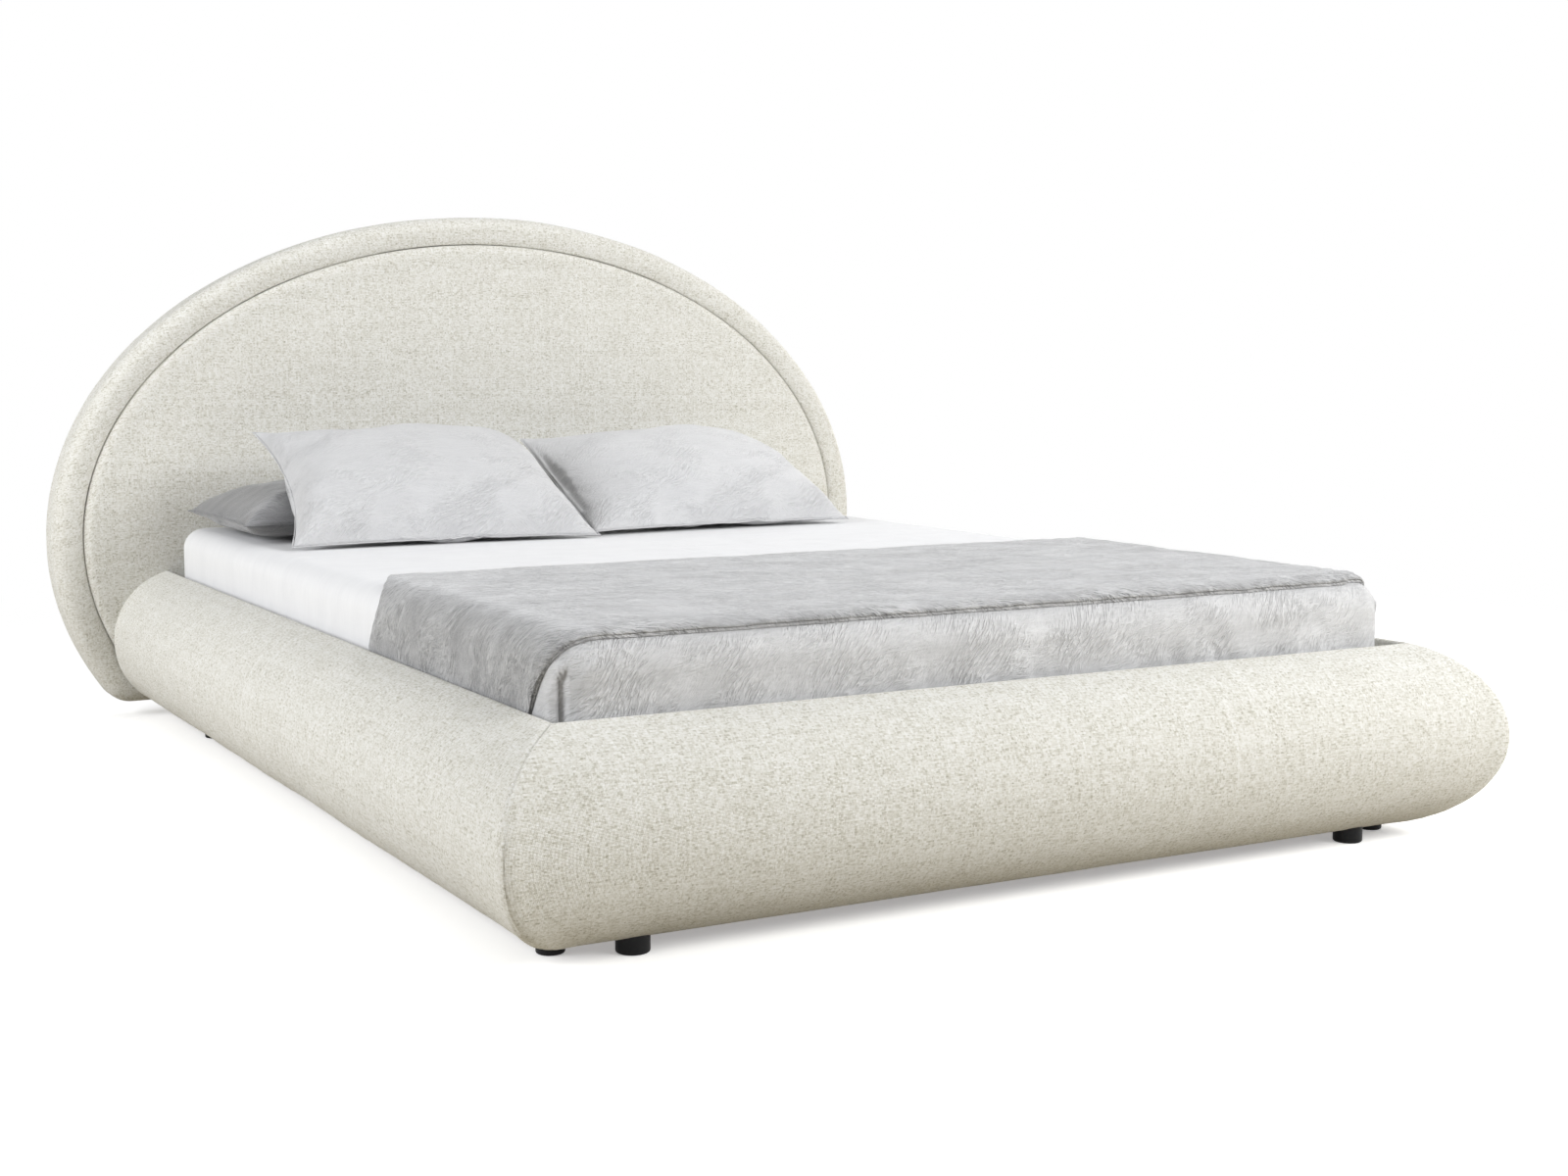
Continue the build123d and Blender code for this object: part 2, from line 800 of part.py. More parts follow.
def bed_block(side_growth, end_growth, top, bottom):
    """Rounded block that follows the mattress at a given distance."""
    return rounded_block(
        mattress_width + 2 * side_growth,
        mattress_length + 2 * end_growth,
        bottom,
        top,
        mattress_corner_radius + side_growth,
        mattress_edge_radius + side_growth,
    )


with BuildPart() as mattress:
    add(bed_block(0, 0, mattress_top, mattress_bottom))
    fillet(mattress.edges().group_by(Axis.Z)[0], mattress_edge_radius / 2)
finish(mattress.part, "mattress")

sheet_hem = mattress_bottom + sheet_hem_rise
with BuildPart() as fitted_sheet:
    add(bed_block(sheet_thickness, sheet_thickness, sheet_top, sheet_hem))
    add(bed_block(0, 0, mattress_top, mattress_bottom), mode=Mode.SUBTRACT)
finish(fitted_sheet.part, "fitted_sheet")

coverlet_growth = sheet_thickness + coverlet_thickness
coverlet_top = mattress_top + coverlet_growth
cloth_width = 2 * mattress_width


def corner_point(side, radius, angle):
    """Point round a foot corner of the mattress; the angle runs from the side towards the foot."""
    centre_x = mattress_width / 2 - mattress_corner_radius
    centre_y = mattress_y - mattress_length / 2 + mattress_corner_radius
    return (
        side * (centre_x + radius * cos(radians(angle))),
        centre_y - radius * sin(radians(angle)),
    )


def pleat_outline(side):
    """Wedge that opens behind the rolled lip of a corner pleat and runs out along the foot."""
    radius = mattress_corner_radius + coverlet_growth
    return [
        corner_point(side, radius - pleat_depth, pleat_angle),
        corner_point(side, radius + cut_margin, pleat_angle),
        corner_point(side, radius + cut_margin, pleat_angle + pleat_sweep),
        corner_point(side, radius, pleat_angle + pleat_sweep),
    ]


with BuildPart() as coverlet:
    add(bed_block(coverlet_growth, coverlet_growth, coverlet_top, coverlet_hem_height))
    add(bed_block(sheet_thickness, sheet_thickness, sheet_top, mattress_bottom), mode=Mode.SUBTRACT)
    with BuildSketch(Plane.XY.offset(mattress_bottom)):
        with Locations((0, foot_y + coverlet_reach)):
            Rectangle(cloth_width, mattress_length, align=(Align.CENTER, Align.MIN))
    extrude(amount=2 * mattress_height, mode=Mode.SUBTRACT)
    with BuildSketch(Plane.XY.offset(coverlet_hem_height)):
        for side in (-1, 1):
            Polygon(*pleat_outline(side), align=None)
    extrude(amount=coverlet_top - pleat_top_drop - coverlet_hem_height, mode=Mode.SUBTRACT)
finish(coverlet.part, "coverlet")

throw_growth = coverlet_growth + throw_side_thickness
throw_top = coverlet_top + throw_top_thickness
throw_side_top = throw_top - mattress_edge_radius - throw_growth
throw_fold_growth = coverlet_growth + throw_side_thickness / 2
throw_fold_top = coverlet_top + throw_top_thickness / 2


def throw_outline(shift):
    """Side view of the throw, moved towards the head by shift: local x is Y and local y is the height."""
    foot_edge = foot_y + throw_foot_edge + shift
    head_edge = foot_y + throw_head_edge + shift
    shoulder = (foot_edge + throw_shoulder_slant, throw_side_top)
    bend = (foot_edge + throw_shoulder_bend, (throw_side_top + throw_top) / 2)
    with BuildSketch() as outline:
        with BuildLine():
            Line((foot_edge + throw_slant, throw_hem_height), shoulder)
            ThreePointArc(shoulder, bend, (foot_edge, throw_top))
            Polyline(
                (foot_edge, throw_top),
                (head_edge, throw_top),
                (head_edge, throw_hem_height),
                (foot_edge + throw_slant, throw_hem_height),
            )
        make_face()
    return outline.sketch


# The throw is folded double, so its foot edge shows two layers with a narrow gap between
with BuildPart() as throw_fold:
    for gap, mode in ((throw_fold_gap / 2, Mode.ADD), (-throw_fold_gap / 2, Mode.SUBTRACT)):
        add(
            bed_block(
                throw_fold_growth + gap, coverlet_growth + gap, throw_fold_top + gap, mattress_bottom
            ),
            mode=mode,
        )
    with BuildSketch(Plane.YZ.offset(-mattress_width)):
        add(throw_outline(-cut_margin))
        add(throw_outline(throw_fold_depth), mode=Mode.SUBTRACT)
    extrude(amount=cloth_width, mode=Mode.INTERSECT)

with BuildPart() as throw:
    add(bed_block(throw_growth, coverlet_growth, throw_top, throw_hem_height))
    add(bed_block(coverlet_growth, coverlet_growth, coverlet_top, mattress_bottom), mode=Mode.SUBTRACT)
    with BuildSketch(Plane.YZ.offset(-mattress_width)):
        add(throw_outline(0))
    extrude(amount=cloth_width, mode=Mode.INTERSECT)
    add(throw_fold.part, mode=Mode.SUBTRACT)
finish(throw.part, "throw")


# Pillows

# Height of each layer above the seam, how far it is drawn in, and how far its sides still bow in
layer_level_shares = (0, 0.4, 0.72, 0.92, 1)
belly_inset_shares = (0, 0.05, 0.14, 0.25, 0.4)
belly_draw_shares = (1, 0.3, -0.4, -1, -1.4)
crown_inset_shares = (0, 0.1, 0.2, 0.33, 0.48)
crown_draw_shares = (1, -0.5, -1.3, -2.2, -2.6)
back_crown_inset_shares = (0, 0.18, 0.38, 0.52, 0.62)


def pincushion(width, height, taper, draw):
    """Four-cornered outline, narrower at its top edge, with its sides bowed in by draw."""
    low_x = width / 2
    high_x = low_x - taper / 2
    middle_x = (low_x + high_x) / 2
    y = height / 2
    with BuildSketch() as outline:
        with BuildLine():
            ThreePointArc((-low_x, -y), (0, -y + draw), (low_x, -y))
            ThreePointArc((low_x, -y), (middle_x - draw, 0), (high_x, y))
            ThreePointArc((high_x, y), (0, y - draw), (-high_x, y))
            ThreePointArc((-high_x, y), (-middle_x + draw, 0), (-low_x, -y))
        make_face()
    return outline.sketch


def half_pillow(place, depth, taper, inset_shares, draw_shares):
    """One half of a pillow, lofted from its seam to its crown."""
    with BuildPart() as half:
        for level, inset, draw in zip(layer_level_shares, inset_shares, draw_shares):
            shrink = pillow_height * inset
            with BuildSketch(place.offset(depth * level)):
                add(
                    pincushion(
                        pillow_width - shrink, pillow_height - shrink, taper, pillow_draw * draw
                    )
                )
        loft()
    return half.part


def pillow_place(x, from_head, rise, tilt, turn):
    """Plane through a pillow's seam, tilted up from the sheet and turned about the upright."""
    across = (cos(radians(turn)), sin(radians(turn)), 0)
    out = (
        sin(radians(turn)) * sin(radians(tilt)),
        -cos(radians(turn)) * sin(radians(tilt)),
        cos(radians(tilt)),
    )
    return Plane(origin=(x, head_y - from_head, sheet_top + rise), x_dir=across, z_dir=out)


with BuildPart() as pillow_left:
    seam = pillow_place(
        left_pillow_x, left_pillow_from_head, left_pillow_rise, left_pillow_tilt, left_pillow_turn
    )
    add(half_pillow(seam, pillow_crown, left_pillow_taper, crown_inset_shares, crown_draw_shares))
    add(half_pillow(seam, -pillow_belly, left_pillow_taper, belly_inset_shares, belly_draw_shares))
finish(pillow_left.part, "pillow_left")

with BuildPart() as pillow_right:
    seam = pillow_place(
        right_pillow_x, right_pillow_from_head, right_pillow_rise, right_pillow_tilt, right_pillow_turn
    )
    add(half_pillow(seam, pillow_crown, right_pillow_taper, crown_inset_shares, crown_draw_shares))
    add(half_pillow(seam, -pillow_belly, right_pillow_taper, belly_inset_shares, belly_draw_shares))
finish(pillow_right.part, "pillow_right")

with BuildPart() as back_pillow_left:
    seam = pillow_place(back_pillow_left_x, back_pillow_left_from_head, back_pillow_left_rise, 0, 0)
    add(half_pillow(seam, back_pillow_left_crown, 0, back_crown_inset_shares, belly_draw_shares))
    add(half_pillow(seam, -back_pillow_left_belly, 0, belly_inset_shares, belly_draw_shares))
finish(back_pillow_left.part, "back_pillow_left")

with BuildPart() as back_pillow_right:
    seam = pillow_place(back_pillow_right_x, back_pillow_right_from_head, back_pillow_right_rise, 0, 0)
    add(half_pillow(seam, back_pillow_right_crown, 0, back_crown_inset_shares, belly_draw_shares))
    add(half_pillow(seam, -back_pillow_right_belly, 0, belly_inset_shares, belly_draw_shares))
finish(back_pillow_right.part, "back_pillow_right")
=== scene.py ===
"""Looks of the upholstered bed: cloth, cushions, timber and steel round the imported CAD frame.

Metres, in the CAD frame: X across the bed, Y from the foot to the headboard, Z up from the floor.
"""

import math
import random
from contextlib import contextmanager

import bmesh
import bpy
import numpy as np
from mathutils import Euler, Matrix, Vector, noise
from mathutils.bvhtree import BVHTree


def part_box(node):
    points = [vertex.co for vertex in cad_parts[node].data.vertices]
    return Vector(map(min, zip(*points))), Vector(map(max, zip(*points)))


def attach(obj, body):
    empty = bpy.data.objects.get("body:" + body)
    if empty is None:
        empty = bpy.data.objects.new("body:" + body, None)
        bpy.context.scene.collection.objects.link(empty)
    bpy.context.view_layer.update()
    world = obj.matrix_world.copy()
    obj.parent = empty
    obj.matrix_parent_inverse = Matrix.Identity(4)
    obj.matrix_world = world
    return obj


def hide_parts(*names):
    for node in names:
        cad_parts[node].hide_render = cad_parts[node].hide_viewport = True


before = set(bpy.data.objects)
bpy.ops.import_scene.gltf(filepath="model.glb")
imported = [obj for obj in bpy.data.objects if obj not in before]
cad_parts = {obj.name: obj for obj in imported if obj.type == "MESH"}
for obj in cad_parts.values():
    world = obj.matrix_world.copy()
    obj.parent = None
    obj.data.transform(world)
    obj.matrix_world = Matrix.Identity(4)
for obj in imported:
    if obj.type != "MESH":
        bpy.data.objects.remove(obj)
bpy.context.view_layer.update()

MM = 0.001

# Sizes shared with the CAD part, in metres
FOOT_Y = 118 * MM - 1124 * MM
HEAD_Y = FOOT_Y + 2040 * MM
HALF_OPENING = 715 * MM
RAIL_TOP = 306 * MM
RAIL_BOTTOM = 18 * MM
RAIL_BULGE = 118 * MM
BOARD_TOP = 286 * MM
BOARD_BOTTOM = 38 * MM
BOARD_NEAR = 1.5 * MM
BOARD_FAR = 26.5 * MM
SLIT_TOP = 198 * MM
SLIT_BOTTOM = 44 * MM
HEAD_HALF_WIDTH = 945 * MM
HEAD_RISE = 688 * MM
HEAD_CENTRE_Z = 365 * MM
HEAD_BASE_Z = 30 * MM
BORDER_WIDTH = 62 * MM
MATTRESS_HALF = 700 * MM
MATTRESS_HALF_LENGTH = 1000 * MM
MATTRESS_BOTTOM = 193.3 * MM
MATTRESS_TOP = 393.3 * MM
MATTRESS_Y = FOOT_Y + 1020 * MM
MATTRESS_CORNER = 60 * MM
MATTRESS_EDGE = 40 * MM
MATTRESS_MIDDLE_Z = MATTRESS_BOTTOM + 100 * MM
SHEET_TOP = 394.8 * MM
SHEET_HEM = 235.3 * MM
BORDER_DEPTH = 90 * MM
PAD_CENTRE_Z = 470 * MM
LINING_INSET = 44 * MM


# Plain helpers

def hex_colour(code):
    """sRGB hex as the linear colour that a shader socket takes."""
    parts = [int(code[i:i + 2], 16) / 255 for i in (1, 3, 5)]
    linear = [c / 12.92 if c <= 0.04045 else ((c + 0.055) / 1.055) ** 2.4 for c in parts]
    return (*linear, 1.0)


def smooth(value, low, high):
    """0 below low, 1 above high, and an even curve between."""
    share = np.clip((value - low) / (high - low), 0, 1)
    return share * share * (3 - 2 * share)


def bell(value, middle, width):
    """1 at the middle, falling off evenly on both sides."""
    return np.exp(-((value - middle) / width) ** 2)


def unit(vectors):
    """The same directions, all of length 1."""
    return vectors / np.maximum(np.linalg.norm(vectors, axis=-1, keepdims=True), 1e-12)


def run_of(points, closed=False):
    """Length along a line from its first point to each one, and back to the first where it is closed."""
    line = np.concatenate([points, points[:1]]) if closed else points
    return np.concatenate([[0], np.cumsum(np.linalg.norm(np.diff(line, axis=0), axis=1))])


def paired(*parts):
    """Arrays spread over one grid and laid together point by point."""
    return np.stack(np.broadcast_arrays(*parts), -1)


def add_node(tree, kind, inputs=None, **settings):
    """One node with its settings; an input is a plain value, a socket, or a node for its first output."""
    node = tree.nodes.new(kind)
    for name, value in settings.items():
        setattr(node, name, value)
    for name, value in (inputs or {}).items():
        if isinstance(value, bpy.types.Node):
            value = value.outputs[0]
        if isinstance(value, bpy.types.NodeSocket):
            tree.links.new(value, node.inputs[name])
        else:
            node.inputs[name].default_value = value
    return node


def new_object(name, mesh):
    """A shown object that carries a mesh, at the origin."""
    made = bpy.data.objects.new(name, mesh)
    bpy.context.scene.collection.objects.link(made)
    return made


def grid_mesh(name, points, uv, around, along=False):
    """Mesh through a grid of points, with a cloth map; around and along close the columns and the rows."""
    rows, columns = points.shape[:2]
    mesh = bpy.data.meshes.new(name)
    mesh.vertices.add(rows * columns)
    mesh.vertices.foreach_set("co", points.reshape(-1).astype(np.float32))
    last_row = rows if along else rows - 1
    last_column = columns if around else columns - 1
    r, c = np.meshgrid(np.arange(last_row), np.arange(last_column), indexing="ij")
    r2, c2 = (r + 1) % rows, (c + 1) % columns
    quads = np.stack([r * columns + c, r * columns + c2, r2 * columns + c2, r2 * columns + c], -1)
    count = r.size
    mesh.loops.add(count * 4)
    mesh.loops.foreach_set("vertex_index", quads.reshape(-1).astype(np.int32))
    mesh.polygons.add(count)
    mesh.polygons.foreach_set("loop_start", np.arange(0, count * 4, 4, dtype=np.int32))
    layer = mesh.uv_layers.new(name="cloth")
    flat = uv.reshape(-1, 2)
    # A closed direction has its own last column and row of map points
    uv_columns = uv.shape[1]
    c_uv = c + 1 if uv_columns > columns else c2
    r_uv = r + 1 if uv.shape[0] > rows else r2
    corners = np.stack(
        [r * uv_columns + c, r * uv_columns + c_uv, r_uv * uv_columns + c_uv, r_uv * uv_columns + c], -1
    )
    layer.data.foreach_set("uv", flat[corners.reshape(-1)].reshape(-1).astype(np.float32))
    mesh.update(calc_edges=True)
    mesh.validate()
    return mesh


def shade_smooth(mesh):
    mesh.polygons.foreach_set("use_smooth", np.ones(len(mesh.polygons), bool))


@contextmanager
def worked(mesh):
    """Opens a mesh for work and writes it back with its faces pointing outwards, shaded smooth."""
    work = bmesh.new()
    work.from_mesh(mesh)
    yield work
    bmesh.ops.recalc_face_normals(work, faces=work.faces)
    work.to_mesh(mesh)
    work.free()
    shade_smooth(mesh)


def merge_doubles(mesh, reach=0.02 * MM):
    """Sew together the points that lie on each other."""
    with worked(mesh) as work:
        bmesh.ops.remove_doubles(work, verts=work.verts, dist=reach)


def close_ends(mesh):
    """Cap the open loops of a swept piece."""
    with worked(mesh) as work:
        bmesh.ops.holes_fill(work, edges=[e for e in work.edges if e.is_boundary], sides=0)
        bmesh.ops.triangulate(work, faces=[f for f in work.faces if len(f.verts) > 4])


def fractal(x, y, size, seed, octaves):
    """Smooth noise from -1 to 1 with a given feature size, at arrays of points."""
    flat_x, flat_y = np.ravel(x) / size, np.ravel(y) / size
    values = [
        noise.fractal(Vector((a, b, seed * 7.31)), 0.9, 2.1, octaves, noise_basis="PERLIN_ORIGINAL")
        for a, b in zip(flat_x.tolist(), flat_y.tolist())
    ]
    return np.array(values).reshape(np.shape(x))


def creases(x, y, size, stretch, angle, seed, sharp):
    """Fine rubbed-in creases: thin ridges, longer along angle, between 0 and 1."""
    c, s = math.cos(angle), math.sin(angle)
    along, across = (x * c + y * s) / stretch, -x * s + y * c
    bend = fractal(x, y, size * 3, seed + 3, 2) * size * 0.7
    ridge = 1 - np.abs(fractal(along, across + bend, size, seed, 2)) * 2.2
    return np.clip(ridge, 0, 1) ** sharp


def normals_of(points, around, along=False):
    """Unit normals of a grid of points."""
    def change(axis, closed):
        if closed:
            return np.roll(points, -1, axis) - np.roll(points, 1, axis)
        return np.gradient(points, axis=axis)

    return unit(np.cross(change(1, around), change(0, along)))


def loop_normals(loop):
    """Outward unit normals of an anticlockwise loop."""
    turn = np.roll(loop, -1, 0) - np.roll(loop, 1, 0)
    return unit(np.stack([turn[:, 1], -turn[:, 0]], -1))


# Materials: cloth

def blank_material(name):
    """A material with an empty node tree, and that tree."""
    material = bpy.data.materials.new(name)
    material.use_nodes = True
    material.node_tree.nodes.clear()
    return material, material.node_tree


def finish_surface(tree, tone, colours, tones, looks):
    """End a tree: the tone picks among the colours, spread from the first of the tones to the last."""
    ramp = add_node(tree, "ShaderNodeValToRGB", {0: tone})
    stops = ramp.color_ramp.elements
    stops[0].position, stops[1].position = tones
    for index in range(1, len(colours) - 1):
        stops.new(tones[0] + (tones[1] - tones[0]) * index / (len(colours) - 1))
    for stop, code in zip(stops, colours):
        stop.color = hex_colour(code)
    shader = add_node(tree, "ShaderNodeBsdfPrincipled", {"Base Color": ramp, **looks})
    add_node(tree, "ShaderNodeOutputMaterial", {"Surface": shader})


def weave_nodes(tree, place, thread_mm, slub_mm, group):
    """Weave on a map in metres: its height and the tint of the yarn on top, which changes slub by slub.

    Threads pass over and under in groups: 1 is plain weave, 2 is basket weave.
    """
    scaled = add_node(
        tree, "ShaderNodeVectorMath", {0: place, "Scale": 1 / (thread_mm * MM)}, operation="SCALE",
    )
    thread = add_node(tree, "ShaderNodeSeparateXYZ", {0: scaled}).outputs
    cells, bumps = [], []
    for axis in (0, 1):
        grouped = add_node(tree, "ShaderNodeMath", {0: thread[axis], 1: float(group)}, operation="DIVIDE")
        cells.append(add_node(tree, "ShaderNodeMath", {0: grouped}, operation="FLOOR"))
        part = add_node(tree, "ShaderNodeMath", {0: thread[axis]}, operation="FRACT")
        angle = add_node(tree, "ShaderNodeMath", {0: part, 1: math.pi}, operation="MULTIPLY")
        bumps.append(add_node(tree, "ShaderNodeMath", {0: angle}, operation="SINE"))
    both = add_node(tree, "ShaderNodeMath", {0: cells[0], 1: cells[1]}, operation="ADD")
    over = add_node(tree, "ShaderNodeMath", {0: both, 1: 2.0}, operation="FLOORED_MODULO")
    heights, tints = [], []
    for mine, other in ((0, 1), (1, 0)):
        dip = add_node(tree, "ShaderNodeMath", {0: bumps[other], 1: 0.45, 2: 0.55}, operation="MULTIPLY_ADD")
        heights.append(add_node(tree, "ShaderNodeMath", {0: bumps[mine], 1: dip}, operation="MULTIPLY"))
        # Along each yarn the colour changes at uneven places
        start = add_node(tree, "ShaderNodeTexWhiteNoise", {"W": cells[mine]}, noise_dimensions="1D")
        moved = add_node(tree, "ShaderNodeMath", {0: start, 1: 37.0}, operation="MULTIPLY")
        along = {0: thread[other], 1: thread_mm / slub_mm[mine], 2: moved}
        share = add_node(tree, "ShaderNodeMath", along, operation="MULTIPLY_ADD")
        slub = add_node(tree, "ShaderNodeMath", {0: share}, operation="FLOOR")
        spot = add_node(tree, "ShaderNodeCombineXYZ", {0: slub, 1: cells[mine], 2: mine * 5.0})
        shade = add_node(tree, "ShaderNodeTexWhiteNoise", {"Vector": spot}, noise_dimensions="3D")
        tints.append(add_node(tree, "ShaderNodeMix", {0: 0.75, 2: start, 3: shade}))
    height = add_node(tree, "ShaderNodeMix", {0: over, 2: heights[0], 3: heights[1]})
    return height, add_node(tree, "ShaderNodeMix", {0: over, 2: tints[0], 3: tints[1]})


def streaks(tree, place, length_mm, width_mm, detail, seed):
    """Soft streaks along the weft, as uneven yarn gives."""
    scale = (1 / (length_mm * MM), 1 / (width_mm * MM), 1)
    stretched = add_node(
        tree, "ShaderNodeMapping", {0: place, "Location": (seed, seed * 2.7, 0), "Scale": scale},
    )
    look = {"Vector": stretched, "Scale": 1.0, "Detail": detail, "Roughness": 0.55}
    return add_node(tree, "ShaderNodeTexNoise", look, noise_dimensions="2D")


def rubbed_creases(tree, place, length_mm, width_mm, turn, seed):
    """Rubbed-in creases: thin ridges along one direction that wanders a little, stronger in patches."""
    look = {"Vector": place, "Scale": 1 / (3.5 * length_mm * MM), "Detail": 1.0}
    wander = add_node(tree, "ShaderNodeTexNoise", look, noise_dimensions="2D").outputs["Color"]
    reach = (1.1 * length_mm * MM,) * 3
    moved = add_node(tree, "ShaderNodeVectorMath", {0: wander, 1: reach, 2: place}, operation="MULTIPLY_ADD")
    turned = add_node(
        tree, "ShaderNodeMapping", {0: moved, "Rotation": (0, 0, turn), "Location": (seed, 0, 0)}
    )
    line = streaks(tree, turned, length_mm, width_mm, 2.5, seed)
    beside = add_node(tree, "ShaderNodeMath", {0: line, 1: 0.5}, operation="SUBTRACT")
    off = add_node(tree, "ShaderNodeMath", {0: beside}, operation="ABSOLUTE")
    sharp = {0: off, 1: -7.0, 2: 1.0}
    ridge = add_node(tree, "ShaderNodeMath", sharp, operation="MULTIPLY_ADD", use_clamp=True)
    patch = streaks(tree, place, 3.2 * length_mm, 2.2 * length_mm, 1.0, seed + 9)
    strength = add_node(tree, "ShaderNodeMapRange", {0: patch, 1: 0.38, 2: 0.62, 3: 0.25, 4: 1.0})
    return add_node(tree, "ShaderNodeMath", {0: ridge, 1: strength}, operation="MULTIPLY")


def cloth_material(name, colours, thread_mm, *, roughness, sheen, specular=0.3, group=1,
                   streak_mm=(14, 2.4), slub_mm=(10, 6), mottle_mm=(120, 45),
                   weave_share=0.25, streak_share=0.35, mottle_share=0.3, thread_depth=0.3,
                   crease_mm=None, crease_depth=0.0, crease_highlight_share=0.0, crease_turns=(0.75, -0.35)):
    """Woven cloth: yarn colours mixed thread by thread, with slubs, soft mottling and the weave's own relief.

    Sizes are length and width in mm. Shares say how far each pattern moves the tone from dark yarn to light.
    """
    material, tree = blank_material(name)
    place = add_node(tree, "ShaderNodeUVMap", uv_map="cloth")
    height, tint = weave_nodes(tree, place, thread_mm, slub_mm, group)
    streak = streaks(tree, place, *streak_mm, 3.0, 3.1)
    mottle = streaks(tree, place, *mottle_mm, 2.0, 11.7)
    # Three shares add up to one tone from dark yarn to light yarn
    tone = 0.5
    for part, share, spread in (
        (tint, weave_share, 1.0), (streak, streak_share, 2.2), (mottle, mottle_share, 2.0),
    ):
        centred = add_node(tree, "ShaderNodeMath", {0: part, 1: 0.5}, operation="SUBTRACT")
        tone = add_node(
            tree, "ShaderNodeMath", {0: centred, 1: share * spread, 2: tone}, operation="MULTIPLY_ADD",
        )
    relief = {"Height": height, "Strength": 1.0, "Distance": thread_mm * MM * thread_depth}
    bump = add_node(tree, "ShaderNodeBump", relief)
    if crease_mm:
        main, cross = (
            rubbed_creases(tree, place, *crease_mm, turn, seed)
            for turn, seed in zip(crease_turns, (23.9, 41.3))
        )
        cross = add_node(tree, "ShaderNodeMath", {0: cross, 1: 0.55}, operation="MULTIPLY")
        crease = add_node(tree, "ShaderNodeMath", {0: main, 1: cross}, operation="MAXIMUM")
        relief = {"Height": crease, "Strength": 1.0, "Distance": crease_depth * MM, "Normal": bump}
        bump = add_node(tree, "ShaderNodeBump", relief)
        # Painted highlight: each crease ridge is drawn paler than the cloth beside it, as if light catches it
        ridge_highlight = add_node(tree, "ShaderNodeMath", {0: crease, 1: 0.25}, operation="SUBTRACT")
        tone = add_node(
            tree, "ShaderNodeMath", {0: ridge_highlight, 1: crease_highlight_share, 2: tone}, operation="MULTIPLY_ADD",
        )
    # Painted shade: the gaps between threads are drawn darker than the threads, and the thread tops a little
    # paler
    gap = min(weave_share, 0.3)
    gap_shade = add_node(
        tree, "ShaderNodeMath", {0: height, 1: gap * 0.9, 2: -gap * 0.55}, operation="MULTIPLY_ADD",
    )
    tone = add_node(tree, "ShaderNodeMath", {0: tone, 1: gap_shade}, operation="ADD", use_clamp=True)
    finish_surface(tree, tone, colours, (0.0, 1.0), {
        "Roughness": roughness, "Specular IOR Level": specular, "Sheen Weight": sheen, "Sheen Roughness": 0.5,
        "Sheen Tint": hex_colour("#ffffff"), "Normal": bump,
    })
    return material


# Basket-weave mélange, threads 1.7 mm apart: cream yarn in pairs, flecked with olive grey, matt and hairy.
BED_CLOTH = cloth_material(
    "woven_melange_upholstery", ["#a5a18f", "#cbc8bc", "#dfddd4", "#e9e8e2", "#f1f0ec", "#f8f8f5"], 1.7,
    streak_mm=(12, 2.3), slub_mm=(6.5, 2.2), group=2, mottle_mm=(80, 24), weave_share=0.58, streak_share=0.38,
    mottle_share=0.10, thread_depth=0.35, roughness=0.95, sheen=0.12,
)
# Smooth white percale: threads too fine to see, drawn 0.8 mm apart for a faint tooth.
SHEET_CLOTH = cloth_material(
    "white_cotton_percale", ["#d4d4d6", "#dededf", "#e6e6e7"], 0.8, streak_mm=(40, 8), weave_share=0.12,
    streak_share=0.15, mottle_share=0.2, thread_depth=0.1, crease_mm=(60, 14), crease_depth=0.12,
    roughness=0.8, sheen=0.1,
)
# Cotton satin: light grey with a soft gleam, rubbed into fine leaning creases whose ridges carry painted
# highlights.
# Threads drawn 0.9 mm apart, coarser than they are, to show at all.
COVERLET_CLOTH = cloth_material(
    "light_grey_cotton_satin", ["#b0b0b1", "#c6c6c7", "#d9d9da"], 0.9, streak_mm=(30, 4), mottle_mm=(90, 40),
    weave_share=0.10, streak_share=0.25, mottle_share=0.3, thread_depth=0.15, crease_mm=(34, 5.5),
    crease_depth=1.6, crease_highlight_share=0.75, crease_turns=(-0.95, -0.35), roughness=0.55, sheen=0.25,
    specular=0.4,
)
# Stonewashed linen: mid grey, dry to the hand, covered in feathery rubbed creases with painted highlights on
# their ridges. Threads 1.1 mm apart.
THROW_CLOTH = cloth_material(
    "grey_stonewashed_linen", ["#727274", "#909092", "#a8a8a9", "#bcbcbd", "#d0d0d1"], 1.1,
    streak_mm=(16, 2.4), slub_mm=(14, 9), mottle_mm=(90, 45), weave_share=0.35, streak_share=0.40,
    mottle_share=0.35, thread_depth=0.3, crease_mm=(44, 6), crease_depth=2.6, crease_highlight_share=0.95,
    crease_turns=(0.43, 1.1), roughness=0.7, sheen=0.8, specular=0.4,
)
# Cotton satin pillowcase: grey-white with a faint gleam, painted highlights on its crease ridges, its threads
# drawn coarse as on the coverlet.
PILLOW_CLOTH = cloth_material(
    "pale_grey_cotton_satin", ["#b9b9bb", "#c7c7c8", "#d2d2d3"], 0.9, streak_mm=(30, 5), mottle_mm=(80, 50),
    weave_share=0.08, streak_share=0.2, mottle_share=0.2, thread_depth=0.12, crease_mm=(36, 6),
    crease_depth=1.3, crease_highlight_share=0.5, crease_turns=(-0.5, 0.3), roughness=0.6, sheen=0.2, specular=0.35,
)
# Dark grey cotton satin: the gleam shows every fold, and its crease ridges carry faint painted highlights.
# Threads drawn coarse too.
DARK_PILLOW_CLOTH = cloth_material(
    "dark_grey_cotton_satin", ["#5c5c5e", "#747476", "#929294"], 0.9, streak_mm=(30, 5), weave_share=0.1,
    streak_share=0.2, mottle_share=0.4, thread_depth=0.12, crease_mm=(28, 8), crease_depth=1.0,
    crease_highlight_share=0.3, roughness=0.5, sheen=0.4, specular=0.5,
)
